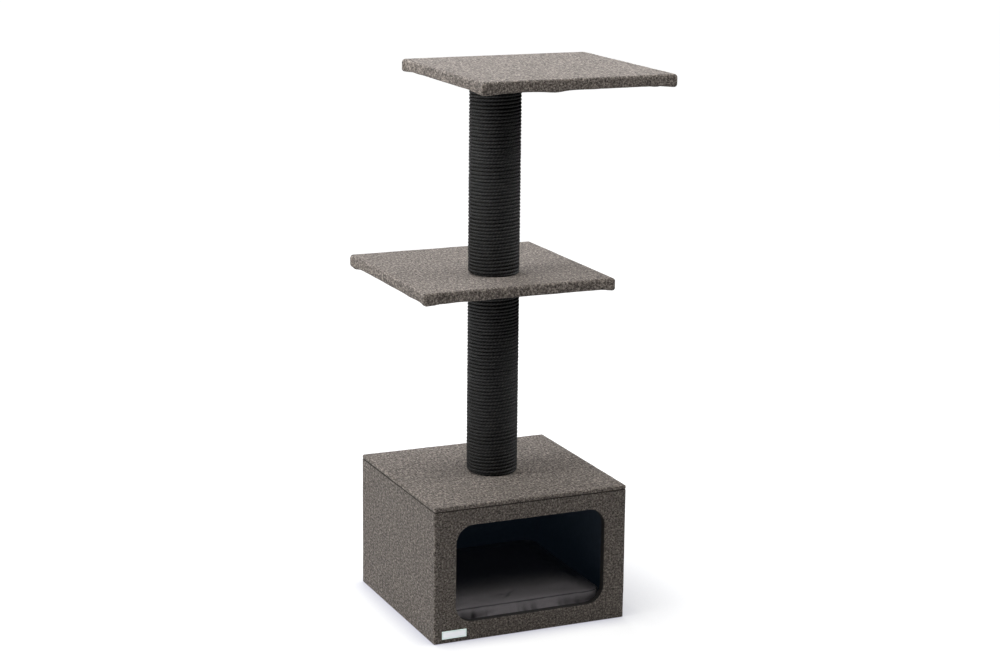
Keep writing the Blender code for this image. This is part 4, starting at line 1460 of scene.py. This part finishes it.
# Painted shade: the seam's ditch is drawn near black.
seam_shade = ranged(tree, at_seam, 0.62, 0.98, 0.0, 0.93)
worn = ranged(tree, speckle(tree, where, 28.0, 3.0), 0.35, 0.7, 0.0, 0.18)
colour = mixed(tree, worn, woven.outputs["Color"], (0.32, 0.30, 0.31, 1))
read_fold_shade = put(tree, "ShaderNodeAttribute", attribute_name="shade_in_folds").outputs["Fac"]
fold_shade_amount = ranged(tree, read_fold_shade, 0.0, 1.0, 0.0, 0.58)
colour = mixed(tree, fold_shade_amount, colour, (0.030, 0.028, 0.030, 1))
colour = mixed(tree, seam_shade, colour, (0.006, 0.006, 0.007, 1))
tree.links.new(colour, shader.inputs["Base Color"])
bump(tree, shader, woven.outputs["Height"], 0.00015, 0.7)

# %% Cover and pad
COVER_THICKNESS = 0.0016
cushion.name = "cushion_cover_cloth"
pad = cushion.copy()
pad.data = cushion.data.copy()
scene.collection.objects.link(pad)
pad.name = "cushion_filling"
for vertex, outer in zip(pad.data.vertices, cushion.data.vertices):
    vertex.co = outer.co - outer.normal * COVER_THICKNESS
cushion.vertex_groups.clear()
pad.vertex_groups.clear()
foam, tree, shader, where = principled("polyester_filling", 0.9)
fluff = speckle(tree, where, 500.0, 5.0, 0.7)
colour = mixed(tree, ranged(tree, fluff, 0.3, 0.7), (0.62, 0.62, 0.60, 1), (0.86, 0.86, 0.84, 1))
tree.links.new(colour, shader.inputs["Base Color"])
bump(tree, shader, fluff, 0.0006)
finish_piece(cushion, cushion_cloth, "cushion", "cushion", "cushion_cover")
finish_piece(pad, foam, "cushion", "filling", "cushion_pad")
print("cushion", len(cushion.data.polygons), "faces")

# %% [markdown]
# ## Woven label
# A small satin ribbon with a mint border is sewn low beside the door. It carries plain bars instead of
# words. Its thread is bright white, and it also glows a little, as painted light, so that it looks whiter
# than any plain paint. Its cloth is a fine grid, so it can lie a little unevenly on the felt, and Solidify
# makes it thick.
# Its stitches are set round it by Geometry Nodes, one small loop of thread at each point of a rectangle.

# %% Label cloth
label_low, label_high = (Vector(corner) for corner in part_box("woven_label"))
LABEL_THICKNESS = 0.0005
LABEL_GRID = (60, 20)


def label_piece():
    """A thin ribbon with soft edges, its outer face at the label node's front."""
    width, height = label_high.x - label_low.x, label_high.z - label_low.z
    bm = bmesh.new()
    unwrap = bm.loops.layers.uv.new("UVMap")
    rows = []
    for j in range(LABEL_GRID[1] + 1):
        row = []
        for i in range(LABEL_GRID[0] + 1):
            u, v = i / LABEL_GRID[0], j / LABEL_GRID[1]
            x, z = label_low.x + u * width, label_low.z + v * height
            rim = min(u * width, (1 - u) * width, v * height, (1 - v) * height)
            pressed = 0.00012 * (1 - step(rim, 0.0, 0.0012)) + 0.00008 * wave(x * 150, 0, z * 150, 31)
            row.append(bm.verts.new((x, label_low.y + pressed, z)))
        rows.append(row)
    for j in range(LABEL_GRID[1]):
        for i in range(LABEL_GRID[0]):
            corners = [(i, j), (i + 1, j), (i + 1, j + 1), (i, j + 1)]
            new = bm.faces.new([rows[b][a] for a, b in corners])
            for loop, (a, b) in zip(new.loops, corners):
                loop[unwrap].uv = (a / LABEL_GRID[0], b / LABEL_GRID[1])
    mesh = bpy.data.meshes.new("label")
    bm.to_mesh(mesh)
    bm.free()
    piece = bpy.data.objects.new("label_ribbon", mesh)
    scene.collection.objects.link(piece)
    return thicken(piece, LABEL_THICKNESS)


# %% Label material
LABEL_PAINTED_GLOW = 0.42
LABEL_SHAPE = 0.31
label_cloth, tree, shader, where = principled("label_satin", 0.45, Sheen_Weight=0.2)
uv = put(tree, "ShaderNodeUVMap", uv_map="UVMap").outputs[0]
split = put(tree, "ShaderNodeSeparateXYZ", {0: uv}).outputs


def band(value, centre, half, soft=0.01):
    """1 within half of a centre."""
    off = maths(tree, "ABSOLUTE", maths(tree, "SUBTRACT", value, centre))
    return ranged(tree, off, half - soft, half + soft, 1.0, 0.0)


def within(margin):
    """1 inside a rectangle with this margin to the label's edge, in parts of the label's height."""
    sides = ((0, LABEL_SHAPE), (1, 1.0))
    return maths(tree, "MULTIPLY", *(band(split[i], 0.5, 0.5 - margin * k, 0.006) for i, k in sides))


def frame_line(outer, inner):
    """1 between two margins."""
    return maths(tree, "SUBTRACT", within(outer), within(inner))


rim = frame_line(-0.02, 0.12)
line = frame_line(0.12, 0.18)
bars = maths(tree, "MAXIMUM", band(split[1], 0.60, 0.05), band(split[1], 0.38, 0.04))
bars = maths(tree, "MULTIPLY", bars, band(split[0], 0.5, 0.38))
dash_run = put(tree, "ShaderNodeMapping", {"Vector": uv, "Scale": (34.0, 2.0, 1.0)}).outputs[0]
dashes = ranged(tree, speckle(tree, dash_run, 1.0, 0.0), 0.42, 0.50)
bars = maths(tree, "MULTIPLY", maths(tree, "MULTIPLY", bars, dashes), 0.35)
colour = mixed(tree, maths(tree, "MULTIPLY", rim, 0.9), (0.86, 0.86, 0.90, 1), (0.78, 0.93, 0.87, 1))
colour = mixed(tree, maths(tree, "MULTIPLY", line, 0.6), colour, (0.42, 0.58, 0.52, 1))
colour = mixed(tree, bars, colour, (0.45, 0.48, 0.47, 1))
tree.links.new(colour, shader.inputs["Base Color"])
# Painted light: the label glows in its own colours, so it looks brighter than the light falling on it.
tree.links.new(colour, shader.inputs["Emission Color"])
shader.inputs["Emission Strength"].default_value = LABEL_PAINTED_GLOW
ribs = maths(tree, "SINE", maths(tree, "MULTIPLY", split[0], 700.0))
bump(tree, shader, ribs, 0.00006)

# %% Label on the wall
label = label_piece()
finish_piece(label, label_cloth, "stand", "label", "woven_label")
label_size = (label_high.x - label_low.x, label_high.z - label_low.z)

# %% [markdown]
# ## Stitches and staples
# Both are short pieces of bent wire or thread set at an even spacing round a rectangle: stitches round the
# label, and staples through the hem of each platform. One tree makes them all. It runs a rectangle of the
# given size, spaces points along it, and puts a bar with dipped ends at each, turned along the line and
# scattered a little.

# %% Row tree
row_tree, given = geometry_tree(
    "rectangle_of_bars",
    (
        ("Width", "NodeSocketFloat", 0.3),
        ("Depth", "NodeSocketFloat", 0.3),
        ("Spacing", "NodeSocketFloat", 0.04),
        ("Bar Length", "NodeSocketFloat", 0.011),
        ("Bar Radius", "NodeSocketFloat", 0.0005),
        ("Dip", "NodeSocketFloat", 0.0012),
        ("Scatter", "NodeSocketFloat", 0.2),
        ("Seed", "NodeSocketInt", 1),
        ("Finish", "NodeSocketMaterial", None),
    ),
)
g = row_tree
bar = put(g, "GeometryNodeCurvePrimitiveLine", {"Start": (-0.5, 0, 0), "End": (0.5, 0, 0)}).outputs[0]
bar = put(g, "GeometryNodeResampleCurve", {"Curve": bar, "Count": 8}).outputs[0]
part = put(g, "GeometryNodeSplineParameter").outputs["Factor"]
off = maths(g, "ABSOLUTE", maths(g, "SUBTRACT", part, 0.5))
dip = maths(g, "POWER", maths(g, "MULTIPLY", off, 2.0), 5.0)
place = put(g, "ShaderNodeCombineXYZ", {
    0: maths(g, "MULTIPLY", maths(g, "SUBTRACT", part, 0.5), given["Bar Length"]),
    1: 0.0,
    2: maths(g, "MULTIPLY", dip, maths(g, "MULTIPLY", given["Dip"], -1.0)),
}).outputs[0]
bar = put(g, "GeometryNodeSetPosition", {"Geometry": bar, "Position": place}).outputs[0]
round_bar = put(g, "GeometryNodeCurvePrimitiveCircle", {"Resolution": 6, "Radius": 1.0}).outputs[0]
bar = put(g, "GeometryNodeCurveToMesh", {
    "Curve": bar, "Profile Curve": round_bar, "Scale": given["Bar Radius"], "Fill Caps": True,
}).outputs[0]
square = put(g, "GeometryNodeCurvePrimitiveQuadrilateral", {
    "Width": given["Width"], "Height": given["Depth"],
}).outputs[0]
spaced = put(g, "GeometryNodeCurveToPoints", {"Curve": square, "Length": given["Spacing"]}, mode="LENGTH")
jitter = put(g, "FunctionNodeRandomValue", {
    2: maths(g, "MULTIPLY", given["Scatter"], -1.0), 3: given["Scatter"], "Seed": given["Seed"],
}, data_type="FLOAT").outputs[1]
tangent = {"Vector": spaced.outputs["Tangent"]}
along = put(g, "FunctionNodeAlignRotationToVector", tangent, axis="X").outputs[0]
spin = put(g, "ShaderNodeCombineXYZ", {2: jitter}).outputs[0]
spin = put(g, "FunctionNodeEulerToRotation", {0: spin}).outputs[0]
turned_bar = put(g, "FunctionNodeRotateRotation", {0: along, 1: spin}, rotation_space="LOCAL").outputs[0]
bars = put(g, "GeometryNodeInstanceOnPoints", {
    "Points": spaced.outputs["Points"], "Instance": bar, "Rotation": turned_bar,
}).outputs[0]
end_tree(g, bars, given["Finish"])


def place_mesh(piece, matrix):
    """Moves a piece's mesh, and leaves its object at the origin."""
    piece.data.transform(matrix)


# %% Stitches
thread, tree, shader, where = principled("pale_thread", 0.6)
twisted = ranged(tree, speckle(tree, where, 900.0), 0.4, 0.6)
colour = mixed(tree, twisted, (0.50, 0.55, 0.53, 1), (0.70, 0.74, 0.73, 1))
tree.links.new(colour, shader.inputs["Base Color"])
EDGE = 0.0009
stitches = grow("label_stitches", row_tree, {
    "Width": label_size[0] - 2 * EDGE, "Depth": label_size[1] - 2 * EDGE, "Spacing": 0.0021,
    "Bar Length": 0.0016, "Bar Radius": 0.00013, "Dip": 0.0002, "Scatter": 0.12, "Seed": 3, "Finish": thread,
})
label_middle = (label_low + label_high) / 2
on_label = Matrix.Translation((label_middle.x, label_low.y + 0.00002, label_middle.z))
place_mesh(stitches, on_label @ Matrix.Rotation(math.pi / 2, 4, "X"))
finish_piece(stitches, thread, "stand", "label")

# %% Liners
liner_felt = felt_material("black_liner", (0.016, 0.016, 0.017), (0.045, 0.043, 0.042), (0.005, 0.005, 0.006))
LINER_CELLS = 44
LINER_POINT = 0.0006
LINER_THICKNESS = 0.0017


def liner_piece(name, node, body, hole):
    """A panel of thin felt inside the hem, slightly uneven, with the stud's hole where it has one."""
    low, high = (Vector(corner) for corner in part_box(node))
    middle = (low + high) / 2
    reach = (high.x - low.x) / 2
    centre = Vector((0.0, 0.0)) if hole else middle.xy
    flat, _, _, _ = outline((reach, reach), 0.003, [np.linspace(0, 1, LINER_CELLS)] * 4)
    rim = np.array([(middle.x + x, middle.y + y) for x, y in flat])
    away = rim - np.array(centre)
    away = away / np.linalg.norm(away, axis=1)[:, None]
    rows = []
    for t in np.linspace(0, 1, 18):
        ring = rim * (1 - t) + t * (np.array(centre) + (STUD_HOLE if hole else LINER_POINT) * away)
        sag = [0.0007 * step(t, 0.0, 0.2) * (wave(x * 16, y * 16, 0.0, 41) - 0.2) for x, y in ring]
        rows.append(np.array([(x, y, low.z + s) for (x, y), s in zip(ring, sag)]))
    piece = skin(name, rows, cap=not hole)
    bm = bmesh.new()
    bm.from_mesh(piece.data)
    bm.normal_update()
    if sum(face.normal.z for face in bm.faces) > 0:
        bmesh.ops.reverse_faces(bm, faces=bm.faces[:])
    bm.to_mesh(piece.data)
    bm.free()
    thicken(piece, LINER_THICKNESS)
    finish_piece(piece, liner_felt, body, "liner", node)
    return piece


liner_piece("middle_platform_liner", "middle_liner", "middle_platform", hole=True)
liner_piece("top_platform_liner", "top_liner", "top_platform", hole=False)

# %% Staples
STAPLE_INSET = 0.020
for seed, platform in enumerate(("middle", "top")):
    low, high = (Vector(corner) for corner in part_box(f"{platform}_felt"))
    middle = (low + high) / 2
    side = high.x - low.x - 2 * STAPLE_INSET
    staples = grow(f"{platform}_platform_staples", row_tree, {
        "Width": side, "Depth": side, "Spacing": 0.036, "Bar Length": 0.0115, "Bar Radius": 0.0006,
        "Dip": 0.0016, "Scatter": 0.25, "Seed": seed + 1, "Finish": zinc,
    })
    below = Matrix.Translation((middle.x, middle.y, low.z + 0.0001)) @ Matrix.Rotation(math.pi, 4, "X")
    place_mesh(staples, below)
    finish_piece(staples, zinc, f"{platform}_platform", "steel")
